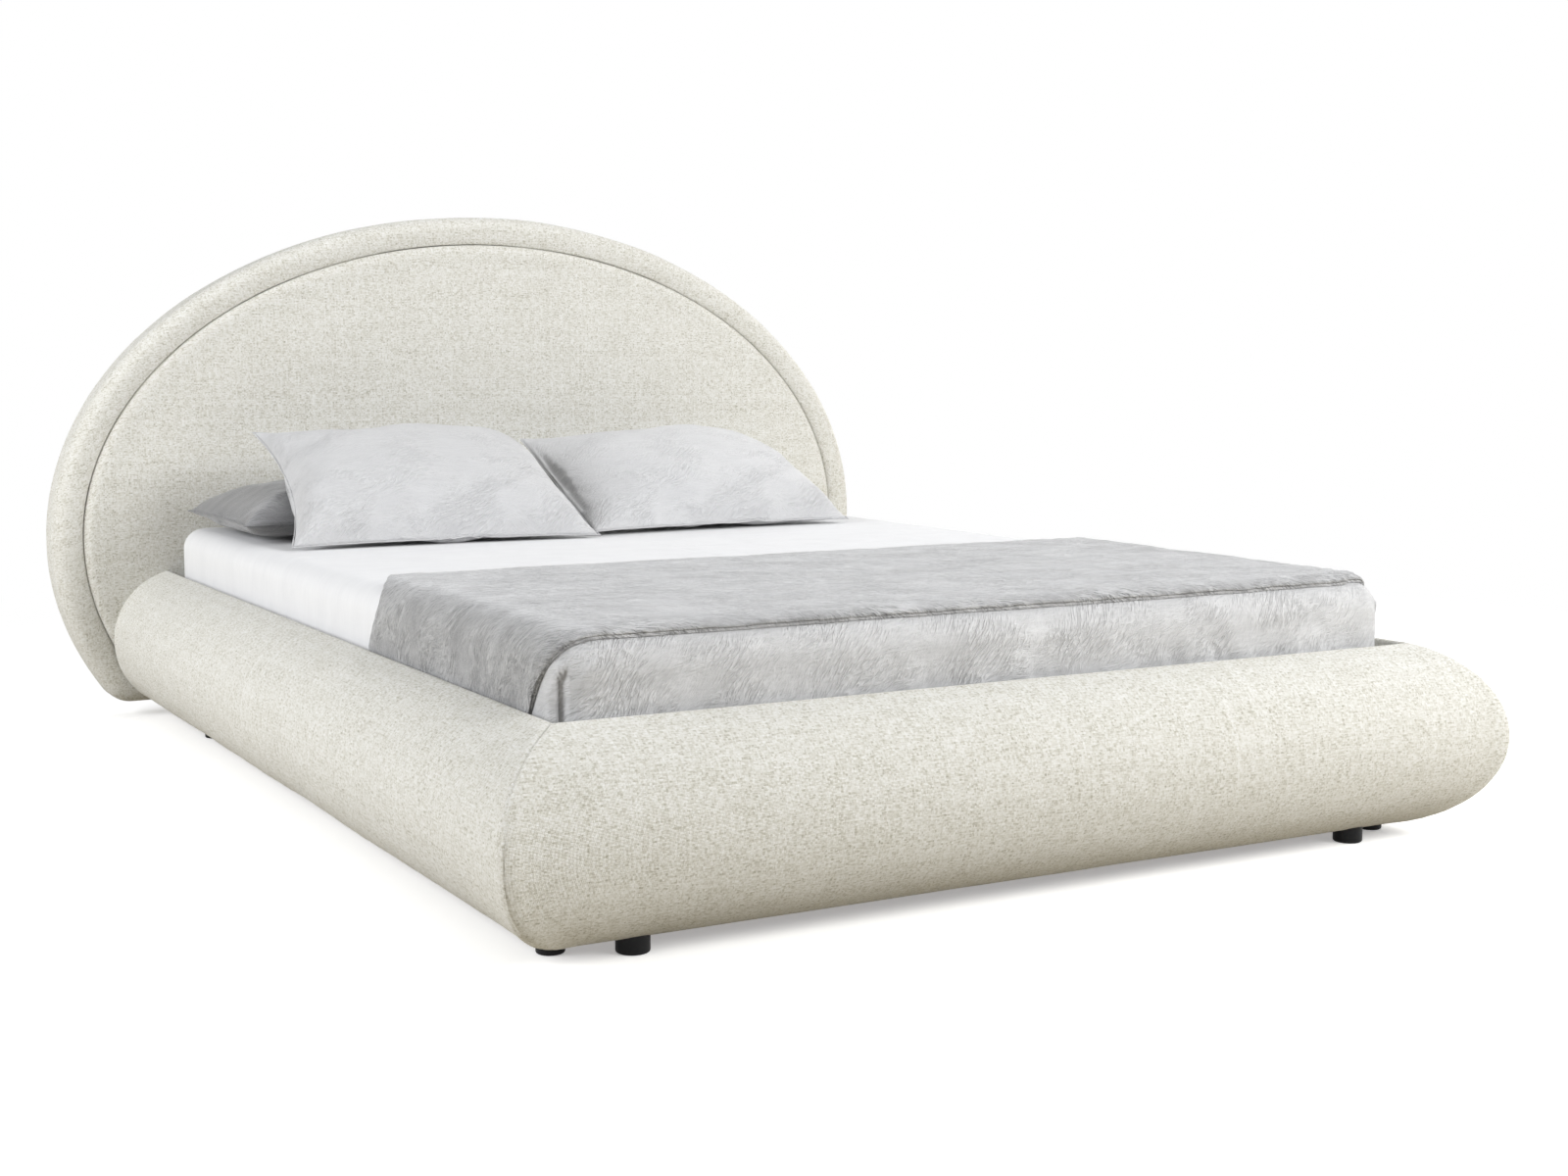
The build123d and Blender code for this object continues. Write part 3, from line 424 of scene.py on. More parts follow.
# Thin black spunbond lining stapled over the back: open, dull, papery, its fibres drawn 1.4 mm apart.
BACK_CLOTH = cloth_material(
    "black_spunbond_lining", ["#1c1c1d", "#262627", "#323233"], 1.4, roughness=0.95, sheen=0.05,
)
# Knitted mattress ticking: soft white loops, drawn 3 mm apart.
TICKING = cloth_material(
    "white_knitted_ticking", ["#dcdcdb", "#ebebea", "#f5f5f4"], 3.0, streak_mm=(9, 9), thread_depth=0.4,
    roughness=0.95, sheen=0.1,
)
# Polypropylene webbing: coarse flat weave, 2 mm, slightly shiny.
WEBBING = cloth_material(
    "pale_polypropylene_webbing", ["#b7b5ae", "#cbc9c2", "#dcdad4"], 2.0, thread_depth=0.5, roughness=0.6,
    sheen=0.0,
)


# Materials: timber, steel and plastic

def wood_material(name, colours, ring_mm, fibre_mm, along, roughness, coat=0.0):
    """Sawn timber: growth rings stretched along the board and fine fibres; along is the board's axis."""
    material, tree = blank_material(name)
    place = add_node(tree, "ShaderNodeTexCoord").outputs["Object"]
    stretch = [1.0, 1.0, 1.0]
    stretch[along] = 0.06
    shaped = add_node(tree, "ShaderNodeMapping", {0: place, "Scale": stretch})
    look = {"Vector": shaped, "Scale": 1 / (4 * ring_mm * MM), "Detail": 2.0}
    warp = add_node(tree, "ShaderNodeTexNoise", look)
    look = {"Vector": shaped, "Scale": 1 / (ring_mm * MM * 2 * math.pi), "Distortion": 5.0, "Detail": 2.0,
            "Detail Scale": 1.5}
    rings = add_node(
        tree, "ShaderNodeTexWave", look, wave_type="BANDS", bands_direction="DIAGONAL",
    ).outputs["Fac"]
    look = {"Vector": shaped, "Scale": 1 / (fibre_mm * MM), "Detail": 3.0}
    fibres = add_node(tree, "ShaderNodeTexNoise", look)
    half = add_node(tree, "ShaderNodeMix", {0: 0.35, 2: rings, 3: warp})
    tone = add_node(tree, "ShaderNodeMix", {0: 0.3, 2: half, 3: fibres})
    bump = add_node(tree, "ShaderNodeBump", {"Height": fibres, "Distance": 0.15 * MM, "Strength": 0.8})
    finish_surface(tree, tone, colours, (0.25, 0.75), {
        "Roughness": roughness, "Coat Weight": coat, "Coat Roughness": 0.25, "Normal": bump,
    })
    return material


def plain_material(name, colours, grain_mm, depth_mm, roughness, metallic=0.0, specular=0.5):
    """Moulded, painted or plated surface: fine grain in colour, gloss and relief."""
    material, tree = blank_material(name)
    place = add_node(tree, "ShaderNodeTexCoord").outputs["Object"]
    grain = add_node(
        tree, "ShaderNodeTexNoise", {"Vector": place, "Scale": 1 / (grain_mm * MM), "Detail": 2.0},
    )
    cloud = add_node(tree, "ShaderNodeTexNoise", {"Vector": place, "Scale": 1 / (25 * MM), "Detail": 2.0})
    mixed = add_node(tree, "ShaderNodeMix", {0: 0.5, 2: grain, 3: cloud})
    spread = {0: cloud, 1: 0.3, 2: 0.7, 3: roughness - 0.06, 4: roughness + 0.06}
    gloss = add_node(tree, "ShaderNodeMapRange", spread)
    bump = add_node(tree, "ShaderNodeBump", {"Height": grain, "Distance": depth_mm * MM, "Strength": 0.6})
    finish_surface(tree, mixed, colours, (0.3, 0.7), {
        "Roughness": gloss, "Metallic": metallic, "Specular IOR Level": specular, "Normal": bump,
    })
    return material


# Planed pine: wide pale rings, dry and unfinished. One material for each way that the boards run.
PINE_Y = wood_material("planed_pine_long", ["#c79b63", "#e6c590"], 9, 1.2, 1, 0.7)
PINE_X = wood_material("planed_pine_across", ["#c79b63", "#e6c590"], 9, 1.2, 0, 0.7)
PINE_Z = wood_material("planed_pine_upright", ["#c79b63", "#e6c590"], 9, 1.2, 2, 0.7)
# Birch plywood: calm, broad figure.
PLYWOOD = wood_material("birch_plywood", ["#c9a877", "#e3cba0"], 26, 1.6, 0, 0.6)
# Beech laminate under clear lacquer: tight flecked grain with a satin film.
BEECH = wood_material("lacquered_beech_laminate", ["#c48f5e", "#dfb588"], 5, 0.8, 0, 0.4, coat=0.4)
# Zinc-plated steel: cool, slightly clouded metal.
ZINC = plain_material("zinc_plated_steel", ["#a9adb1", "#c2c6c9"], 1.5, 0.02, 0.36, metallic=1.0)
# Black powder coat: fine orange-peel.
POWDER_COAT = plain_material("black_powder_coated_steel", ["#121213", "#1b1b1c"], 0.9, 0.05, 0.5)
# Moulded ABS: near black with a fine spark-eroded grain, drawn coarser than real.
ABS = plain_material("black_moulded_abs", ["#020203", "#050506"], 0.7, 0.04, 0.5, specular=0.2)
# Galvanised staple wire: bright thin metal.
STAPLE_WIRE = plain_material("galvanised_staple_wire", ["#b9bcbe", "#d2d4d6"], 0.8, 0.01, 0.3, metallic=1.0)


def give(piece, material):
    """The piece's one material."""
    piece.data.materials.clear()
    piece.data.materials.append(material)
    return piece


# Rails

def rail_section():
    """Closed outline of a rail: distance out from the inner face, height, and length round the cloth."""
    half = (RAIL_TOP - RAIL_BOTTOM) / 2
    middle = RAIL_BOTTOM + half
    radius = (RAIL_BULGE ** 2 + half ** 2) / (2 * RAIL_BULGE)
    axis = RAIL_BULGE - radius
    reach = math.asin(half / radius)
    soft = 9 * MM
    # The arc stops short of the inner face, where the foam turns over in a small soft edge
    cut = soft * 1.25 / radius
    angles = np.linspace(reach - cut, cut - reach, 88)
    arc = [(axis + radius * math.cos(a), middle + radius * math.sin(a)) for a in angles]

    def corner(start, bend, end):
        t = np.linspace(0, 1, 7)[1:-1, None]
        a, b, c = (np.array(p) for p in (start, bend, end))
        return ((1 - t) ** 2 * a + 2 * t * (1 - t) * b + t ** 2 * c).tolist()

    top_face, bottom_face = (0, RAIL_TOP - soft * 1.4), (0, RAIL_BOTTOM + soft * 1.4)
    inner_up = [(0, z) for z in np.linspace(SLIT_TOP, top_face[1], 14)]
    inner_low = [(0, z) for z in np.linspace(bottom_face[1], SLIT_BOTTOM, 4)]
    shown = (
        inner_up
        + corner(top_face, (0, RAIL_TOP), arc[0])
        + arc
        + corner(arc[-1], (0, RAIL_BOTTOM), bottom_face)
        + inner_low
    )
    hidden = [
        (BOARD_NEAR, SLIT_BOTTOM), (BOARD_NEAR, BOARD_BOTTOM), (BOARD_FAR, BOARD_BOTTOM),
        (BOARD_FAR, BOARD_TOP), (BOARD_NEAR, BOARD_TOP), (BOARD_NEAR, SLIT_TOP),
    ]
    outline = np.array(shown + hidden, float)
    return outline, run_of(outline, closed=True), len(shown)


SECTION, SECTION_LENGTH, SECTION_SHOWN = rail_section()


def rail_mesh(name, run, mitred_both, seed):
    """Cloth over one rail as a grid: local x is out of the bed, y runs along, z is up.

    run is the length of the inner top edge. The mitre adds the local x to the run at a mitred end.
    """
    count = int(run / (9 * MM))
    out, height = SECTION[:, 0], SECTION[:, 1]
    # Closer rows near a seam, where the cloth dips into it
    even = np.linspace(0, 1, count)
    near = np.array([0.4, 0.9, 1.5, 2.3, 3.4, 5, 7.5, 11, 16, 23, 32, 44]) * MM / run
    share = np.unique(np.concatenate([even, near, 1 - near if mitred_both else []]))
    start = -out[None, :] if mitred_both else np.zeros_like(out)[None, :]
    end = run + out[None, :]
    along = start + (end - start) * share[:, None]
    section_normal = loop_normals(SECTION)
    if section_normal[SECTION_SHOWN // 2, 0] < 0:
        section_normal *= -1
    shown = np.zeros(len(out))
    shown[:SECTION_SHOWN] = 1
    # Only the outside swells, dips and puckers; the parts behind the board stay put
    free = shown * smooth(out, 2 * MM, 22 * MM)
    around = np.broadcast_to(SECTION_LENGTH[:-1][None, :], along.shape)
    to_seam = end - along
    if mitred_both:
        to_seam = np.minimum(to_seam, along - start)
    dip = -3.0 * MM * np.exp(-to_seam / (1.3 * MM)) - 0.9 * MM * np.exp(-to_seam / (9 * MM))
    dip += 0.9 * MM * bell(to_seam, 15 * MM, 10 * MM)
    pucker = 0.55 * MM * np.exp(-to_seam / (16 * MM)) * fractal(around, along * 0.25, 11 * MM, seed + 5, 2)
    wave = 1.5 * MM * fractal(along, around, 260 * MM, seed, 2)
    wave = wave + 0.5 * MM * fractal(along, around * 2, 80 * MM, seed + 9, 2) - 1.0 * MM
    push = (dip + pucker + wave * smooth(to_seam, 0, 60 * MM)) * free[None, :]
    push = np.minimum(push, 0.6 * MM)
    points = np.empty((*along.shape, 3))
    points[..., 0] = out[None, :] + push * section_normal[:, 0][None, :]
    points[..., 1] = along
    points[..., 2] = height[None, :] + push * section_normal[:, 1][None, :]
    uv = np.empty((along.shape[0], along.shape[1] + 1, 2))
    uv[..., 0] = np.concatenate([along, along[:, :1]], 1)
    uv[..., 1] = SECTION_LENGTH[None, :]
    mesh = grid_mesh(name, points, uv, around=True)
    close_ends(mesh)
    return mesh


for side, side_name in ((-1, "left"), (1, "right")):
    mesh = rail_mesh(f"side_rail_{side_name}", HEAD_Y - FOOT_Y, False, 4 + side)
    # Local y runs from the head end towards the foot
    place = Matrix(((side, 0, 0, side * HALF_OPENING), (0, -1, 0, HEAD_Y), (0, 0, 1, 0), (0, 0, 0, 1)))
    mesh.transform(place)
    if place.determinant() < 0:
        mesh.flip_normals()
    rail = give(new_object(f"side_rail_{side_name}_upholstery", mesh), BED_CLOTH)
    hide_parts(f"side_cover_{side_name}", f"side_bolster_{side_name}")
    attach(rail, "bed_frame")

mesh = rail_mesh("foot_rail", 2 * HALF_OPENING, True, 12)
mesh.transform(Matrix(((0, 1, 0, -HALF_OPENING), (-1, 0, 0, FOOT_Y), (0, 0, 1, 0), (0, 0, 0, 1))))
rail = give(new_object("foot_rail_upholstery", mesh), BED_CLOTH)
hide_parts("foot_cover", "foot_bolster")
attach(rail, "bed_frame")


# Headboard

# Points over the top arc, round the right fillet, along the bottom and round the left fillet
HEAD_SEGMENTS = (300, 16, 150, 16)
HEAD_FILLET, LEAST_FILLET = 60 * MM, 13 * MM
ELLIPSE_STEPS, HALVINGS = 4001, 60


def headboard_loop(inset):
    """Outline drawn in by inset: points (x, z) anticlockwise from the right fillet over the top."""
    a, b = HEAD_HALF_WIDTH - inset, HEAD_RISE - inset
    base = HEAD_BASE_Z + inset
    fillet = max(HEAD_FILLET - inset, LEAST_FILLET)

    def on_ellipse(angle):
        point = np.array([a * math.cos(angle), HEAD_CENTRE_Z + b * math.sin(angle)])
        normal = np.array([math.cos(angle) / a, math.sin(angle) / b])
        return point, normal / np.linalg.norm(normal)

    # Where the fillet leaves the ellipse and just touches the base
    low, high = -math.pi / 2, 0.0
    for _ in range(HALVINGS):
        angle = (low + high) / 2
        point, normal = on_ellipse(angle)
        if point[1] - fillet * normal[1] > base + fillet:
            high = angle
        else:
            low = angle
    point, normal = on_ellipse(angle)
    centre = point - fillet * normal
    top_arc, right_turn, bottom, left_turn = HEAD_SEGMENTS
    # Points evenly spaced along the ellipse, not by its angle
    angles = np.linspace(angle, math.pi - angle, ELLIPSE_STEPS)
    ellipse = np.stack([a * np.cos(angles), HEAD_CENTRE_Z + b * np.sin(angles)], -1)
    run = run_of(ellipse)
    wanted = np.linspace(0, run[-1], top_arc, endpoint=False)
    arc = np.stack([np.interp(wanted, run, ellipse[:, i]) for i in (0, 1)], -1)
    start = math.atan2(normal[1], normal[0])
    turn = np.linspace(math.pi - start, 1.5 * math.pi, left_turn, endpoint=False)
    left = np.stack([-centre[0] + fillet * np.cos(turn), centre[1] + fillet * np.sin(turn)], -1)
    x = np.linspace(-centre[0], centre[0], bottom, endpoint=False)
    low_edge = np.stack([x, np.full(bottom, base)], -1)
    turn = np.linspace(-math.pi / 2, start, right_turn, endpoint=False)
    right = np.stack([centre[0] + fillet * np.cos(turn), centre[1] + fillet * np.sin(turn)], -1)
    return np.concatenate([arc, left, low_edge, right])


HEAD_NORMALS = loop_normals(headboard_loop(0))
HEAD_RUN = run_of(headboard_loop(0))


def quarter(start, bend, end, steps):
    """Points of a rounded corner, without its two ends."""
    angle = np.linspace(0, math.pi / 2, steps)[1:-1]
    a, b, c = (np.array(p, float) for p in (start, bend, end))
    # An ellipse through both ends, tangent to both legs
    return [tuple(b + (a - b) * (1 - math.sin(t)) + (c - b) * (1 - math.cos(t))) for t in angle]


def border_section():
    """Closed outline of the border: (inset, depth behind the pad's front) in metres."""
    face, turned_in, panel_back, tucked = 4 * MM, 14 * MM, 86 * MM, 40 * MM
    lip = (BORDER_WIDTH, 14 * MM)
    crest, front = (38 * MM, face), (30 * MM, face)
    side, back_side = (0, 34 * MM), (0, 81 * MM)
    back = (9 * MM, BORDER_DEPTH)
    points = [(BORDER_WIDTH, 30 * MM), (BORDER_WIDTH, 21 * MM), lip]
    points += quarter(lip, (BORDER_WIDTH, face), crest, 9)
    points += [crest, (35 * MM, face), (32.5 * MM, face), front]
    points += quarter(front, (0, face), side, 14)
    points += [side, (0, 46 * MM), (0, 58 * MM), (0, 70 * MM), back_side]
    points += quarter(back_side, (0, BORDER_DEPTH), back, 7)
    points += [back, (20 * MM, BORDER_DEPTH), (32 * MM, BORDER_DEPTH), (LINING_INSET, BORDER_DEPTH)]
    shown = len(points)
    points += [(LINING_INSET, panel_back), (turned_in, panel_back)]
    points += [(turned_in, tucked), (BORDER_WIDTH, tucked)]
    return np.array(points, float), shown


section, shown = border_section()
section_run = run_of(section, closed=True)
loops = {round(inset, 6): headboard_loop(inset) for inset in np.unique(section[:, 0])}
rows, columns = len(HEAD_RUN), len(section)
points = np.empty((rows, columns, 3))
for index, (inset, depth) in enumerate(section):
    loop = loops[round(inset, 6)]
    points[:, index, 0] = loop[:, 0]
    points[:, index, 1] = HEAD_Y + depth
    points[:, index, 2] = loop[:, 1]
normals = normals_of(points, around=True, along=True)
FRONT_COLUMN = 12
if normals[rows // 4, FRONT_COLUMN, 1] > 0:
    normals *= -1
run = np.broadcast_to(HEAD_RUN[:, None], (rows, columns))
across = np.broadcast_to(section_run[None, :-1], (rows, columns))
free = np.zeros(columns)
free[:shown] = 1
free = free * smooth(section_run[:-1], 0, 8 * MM)
# The lower part stands between rails and floor and keeps its CAD outline
height = points[..., 2]
clear_of_rails = smooth(height, 300 * MM, 360 * MM)
crown = 1.6 * MM * bell(across, 60 * MM, 26 * MM)
pucker = 0.7 * MM * np.exp(-across / (20 * MM)) * fractal(run, across * 0.3, 12 * MM, 31, 2)
wave = 1.1 * MM * fractal(run, across, 210 * MM, 33, 2) - 0.8 * MM
push = (crown + pucker + wave) * free[None, :] * (0.25 + 0.75 * clear_of_rails)
push = np.where(clear_of_rails < 1, np.minimum(push, 0), push)
points += normals * push[..., None]
seam_loop = headboard_loop(BORDER_WIDTH)
unrolled = seam_loop[:, None, :] + HEAD_NORMALS[:, None, :] * section_run[None, :, None]
unrolled = np.concatenate([unrolled, unrolled[:1]], 0)
mesh = grid_mesh("headboard_border", points, unrolled, around=True, along=True)
merge_doubles(mesh, 0.001 * MM)
border = give(new_object("headboard_border_upholstery", mesh), BED_CLOTH)
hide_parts("headboard_border")
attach(border, "bed_frame")

# Centre pad: rings from the back, round the soft edge and in over the front to the middle
PAD_INSET = BORDER_WIDTH + 0.3 * MM
PAD_ROUND_IN, PAD_ROUND_DEEP = 17, 13
pad_profile = [(0, 40), (0, 32), (0, 24), (0, 18), (0, PAD_ROUND_DEEP)]
pad_profile += [
    (PAD_ROUND_IN * (1 - math.cos(t)), PAD_ROUND_DEEP * (1 - math.sin(t)))
    for t in np.linspace(0, math.pi / 2, 9)[1:]
]
edge_rings = [(inset * MM, depth * MM) for inset, depth in pad_profile]
inner_loop = headboard_loop(PAD_INSET + edge_rings[-1][0])
pad_centre = np.array([0, PAD_CENTRE_Z])
scales = np.concatenate([1 - np.linspace(0, 1, 75)[1:-1], [0.004]])
ring_points, ring_depths, ring_inward = [], [], []
for inset, depth in edge_rings:
    ring_points.append(headboard_loop(PAD_INSET + inset))
    ring_depths.append(np.full(rows, depth))
    ring_inward.append(np.full(rows, inset))
edge_to_centre = np.linalg.norm(inner_loop - pad_centre, axis=1)
for scale in scales:
    ring_points.append(pad_centre + (inner_loop - pad_centre) * scale)
    ring_depths.append(np.zeros(rows))
    ring_inward.append(edge_rings[-1][0] + edge_to_centre * (1 - scale))
loop_xz, depth, inward = np.array(ring_points), np.array(ring_depths), np.array(ring_inward)
points = np.stack([loop_xz[..., 0], HEAD_Y + depth, loop_xz[..., 1]], -1)
run = np.broadcast_to(HEAD_RUN[None, :], depth.shape)
height = points[..., 2]
clear_of_rails = smooth(height, 310 * MM, 380 * MM)
swell = 4.5 * MM * smooth(inward, 8 * MM, 170 * MM)
edge_roll = 1.2 * MM * bell(inward, 24 * MM, 14 * MM)
pucker = 0.8 * MM * np.exp(-inward / (22 * MM)) * fractal(run, inward * 0.3, 12 * MM, 41, 2)
wave = 1.6 * MM * fractal(points[..., 0], height, 240 * MM, 43, 3) - 0.8 * MM
front = smooth(-depth, -13 * MM, -2 * MM)
points[..., 1] -= (swell + edge_roll + pucker + wave) * front * clear_of_rails
unrolled = np.empty((*depth.shape, 2))
edge_run = run_of(np.array(edge_rings))
for index in range(len(edge_rings)):
    unrolled[index] = inner_loop + HEAD_NORMALS * (edge_run[-1] - edge_run[index])
unrolled[len(edge_rings):] = loop_xz[len(edge_rings):]
unrolled = np.concatenate([unrolled, unrolled[:, :1]], 1)
mesh = grid_mesh("headboard_pad", points, unrolled, around=True)
close_ends(mesh)
pad = give(new_object("headboard_centre_pad_upholstery", mesh), BED_CLOTH)
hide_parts("headboard_centre_pad")
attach(pad, "bed_frame")


# Mattress and the cloth on it

def plan_loop(half_width, foot, head, corner, counts, whole):
    """Rounded outline in plan, from the left side's head end round the foot; whole closes it at the head."""
    along, turn, across = counts
    corner = max(corner, 0.4 * MM)
    left, right = -half_width + corner, half_width - corner
    low, high = foot + corner, head - corner if whole else head

    def arc(x, y, start):
        angle = np.radians(np.linspace(start, start + 90, turn, endpoint=False))
        return np.stack([x + corner * np.cos(angle), y + corner * np.sin(angle)], -1)

    def line(start, end, count, last=False):
        share = np.linspace(0, 1, count, endpoint=last)[:, None]
        return np.array(start) * (1 - share) + np.array(end) * share

    parts = [
        line((-half_width, high), (-half_width, low), along), arc(left, low, 180),
        line((left, foot), (right, foot), across), arc(right, low, 270),
        line((half_width, low), (half_width, high), along, not whole),
    ]
    if whole:
        parts += [arc(right, high, 0), line((right, head), (left, head), across), arc(left, high, 90)]
    return np.concatenate(parts)


def edge_rows(hem, top, edge, side_rows, arc_rows, insets):
    """Rows from a hem up the side, over a rounded edge and in over the top: inset, height and run."""
    angles = np.linspace(0, math.pi / 2, arc_rows)
    side = [(0, z) for z in np.linspace(hem, top - edge, side_rows, endpoint=False)]
    arc = [(edge * (1 - math.cos(a)), top - edge + edge * math.sin(a)) for a in angles]
    rows = np.array(side + arc + [(edge + inset, top) for inset in insets])
    return rows, run_of(rows)


def block_grid(growth, hem, counts, side_rows, arc_rows, insets, head=None, whole=True):
    """Points over a block that follows the mattress at a distance, as loops from its hem to its middle."""
    half_width = MATTRESS_HALF + growth
    foot = MATTRESS_Y - MATTRESS_HALF_LENGTH - growth
    head = MATTRESS_Y + MATTRESS_HALF_LENGTH + growth if head is None else head
    rows, run = edge_rows(hem, MATTRESS_TOP + growth, MATTRESS_EDGE + growth, side_rows, arc_rows, insets)
    grid = []
    for inset, z in rows:
        corner = MATTRESS_CORNER + growth - inset
        loop = plan_loop(
            half_width - inset, foot + inset, head - inset if whole else head, corner, counts, whole
        )
        grid.append(np.column_stack([loop, np.full(len(loop), z)]))
    return np.array(grid), run


def shell_mesh(name, outer, inner, uv, around=False, rim=None, spine=False):
    """Closed cloth of some thickness between two grids of the same points.

    rim shapes the first edge; spine sews the last rows, which lie on one line, to themselves.
    """
    rows, columns = outer.shape[:2]
    both, both_uv = [outer, inner[::-1]], [uv, uv[::-1]]
    if rim is not None:
        both.append(rim)
        step = np.arange(len(rim), 0, -1)[:, None, None] * np.array([0, 1.4 * MM])
        both_uv.append(uv[:1] - step)
    both, both_uv = np.concatenate(both, 0), np.concatenate(both_uv, 0)
    if around:
        both_uv = np.concatenate([both_uv, both_uv[:, :1]], 1)
    both_uv = np.concatenate([both_uv, both_uv[:1]], 0)
    mesh = grid_mesh(name, both, both_uv, around=around, along=True)
    if spine:
        with worked(mesh) as work:
            ends = [v for v in work.verts if (rows - 1) * columns <= v.index < (rows + 1) * columns]
            on_spine = set(ends)
            walls = [f for f in work.faces if on_spine.issuperset(f.verts)]
            bmesh.ops.delete(work, geom=walls, context="FACES_ONLY")
            bmesh.ops.remove_doubles(work, verts=ends, dist=0.05 * MM)
    if not around:
        with worked(mesh) as work:
            work.verts.ensure_lookup_table()
            layer = work.loops.layers.uv["cloth"]
            last = 2 * rows - 1
            for column in (0, columns - 1):
                for row in range(rows - 1):
                    ring = (row, row + 1, last - row - 1, last - row)
                    face = work.faces.new([work.verts[r * columns + column] for r in ring])
                    for loop, place in zip(face.loops, (row, row + 1, row + 1, row)):
                        loop[layer].uv = uv[place, column]
                if rim is not None:
                    ring = [0, *range(last + len(rim), last, -1), last]
                    work.faces.new([work.verts[r * columns + column] for r in ring])
    shade_smooth(mesh)
    return mesh


def unrolled_map(points, run, edge_row):
    """Map of a block's cloth: flat on top, and from the edge row outwards laid out square to the outline."""
    normal = loop_normals(points[0, :, :2])
    reach = np.maximum(run[edge_row] - run, 0)[:, None, None]
    base = points[np.maximum(np.arange(len(run)), edge_row), :, :2]
    return base + normal[None] * reach


def outward(points, around=False):
    """Unit normals of a grid that stands round the mattress, pointing away from it."""
    normals = normals_of(points, around=around)
    away = points - np.array([0, MATTRESS_Y, MATTRESS_BOTTOM])
    if np.sum(normals * away) < 0:
        normals = -normals
    return normals


# Mattress: knitted cover with a taped edge above and below, quilted on top
counts = (150, 12, 100)
insets = np.array([4, 9, 16, 26, 40, 60, 90, 130, 180, 240, 310, 390, 480, 570, 659.6]) * MM
upper, run = block_grid(0, MATTRESS_MIDDLE_Z, counts, 10, 10, insets)
lower = upper.copy()
lower[..., 2] = 2 * MATTRESS_MIDDLE_Z - lower[..., 2]
body = np.concatenate([upper[::-1], lower[1:]], 0)
body_run = np.concatenate([run[::-1], -run[1:]])
normals = normals_of(body, around=True)
if np.sum(normals * (body - np.array([0, MATTRESS_Y, MATTRESS_MIDDLE_Z]))) < 0:
    normals = -normals
# The tape stands proud of the drawn-in seam beside it
TAPE_ROW, FLAT_ROW, QUILT = 11, 20, 28 * MM
groove = bell(np.abs(body_run) - run[TAPE_ROW], -9 * MM, 3.5 * MM)
tuft = 0.5 + 0.5 * np.sin(body[..., 0] / QUILT) * np.sin(body[..., 1] / QUILT)
flat_share = smooth(np.abs(body_run), run[FLAT_ROW], run[FLAT_ROW + 4])[:, None]
push = -1.4 * MM * groove[:, None] - 1.2 * MM * tuft * flat_share - 0.3 * MM
body = body + normals * push[..., None]
side_map = paired(run_of(upper[0], closed=True)[None, :], body_run[:, None])
mesh = grid_mesh("mattress_core", body, side_map, around=True)
close_ends(mesh)
core = give(new_object("mattress_core", mesh), TICKING)
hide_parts("mattress")
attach(core, "mattress")

# Fitted sheet: smooth on top, drawn in by elastic at its hem, with small folds at the corners
counts = (150, 20, 110)
insets = np.concatenate([np.arange(8, 160, 9), np.arange(165, 640, 16), [648, 655, 658.4]]) * MM
outer, run = block_grid(1.35 * MM, SHEET_HEM, counts, 16, 10, insets)
inner, _ = block_grid(0.35 * MM, SHEET_HEM, counts, 16, 10, insets)
normals = outward(outer, around=True)
x, y, z = outer[..., 0], outer[..., 1], outer[..., 2]
# Only what neither throw nor pillows cover is creased
open_top = smooth(y, FOOT_Y + 770 * MM, FOOT_Y + 800 * MM)
open_top = open_top * smooth(-y, -FOOT_Y - 1330 * MM, -FOOT_Y - 1270 * MM)
on_top = smooth(z, SHEET_TOP - 12 * MM, SHEET_TOP - 2 * MM)
open_side = smooth(y, FOOT_Y + 780 * MM, FOOT_Y + 830 * MM)
ripple = creases(x, y, 46 * MM, 5, 0.35, 51, 1.5) + 0.7 * creases(x, y, 60 * MM, 4, 1.9, 57, 1.5)
sides = fractal(y + x, z * 0.35, 70 * MM, 61, 2)
push = 0.9 * MM * ripple * open_top * on_top
push += 1.0 * MM * (sides + 0.3) * open_side * (1 - on_top) * smooth(z, 240 * MM, 300 * MM)
gather = np.exp(-(z - SHEET_HEM) / (22 * MM)) * (1 - on_top)
corner_share = smooth(np.abs(y - MATTRESS_Y), 820 * MM, 940 * MM) * smooth(np.abs(x), 560 * MM, 640 * MM)
index = np.arange(outer.shape[1])[None, :]
push += 0.9 * MM * gather * corner_share * np.sin(index * 1.9)
push[-1] = 0
outer = outer + normals * np.maximum(push, -0.25 * MM)[..., None]
outer[-1, :, 0] = 0
inner[-1, :, 0] = 0
mesh = shell_mesh("fitted_sheet_cloth", outer, inner, unrolled_map(outer, run, 25), around=True, spine=True)
sheet = give(new_object("fitted_sheet_cloth", mesh), SHEET_CLOTH)
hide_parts("fitted_sheet")
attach(sheet, "mattress")


# Coverlet: light satin quilt over the foot end, folded into a pleat at each foot corner

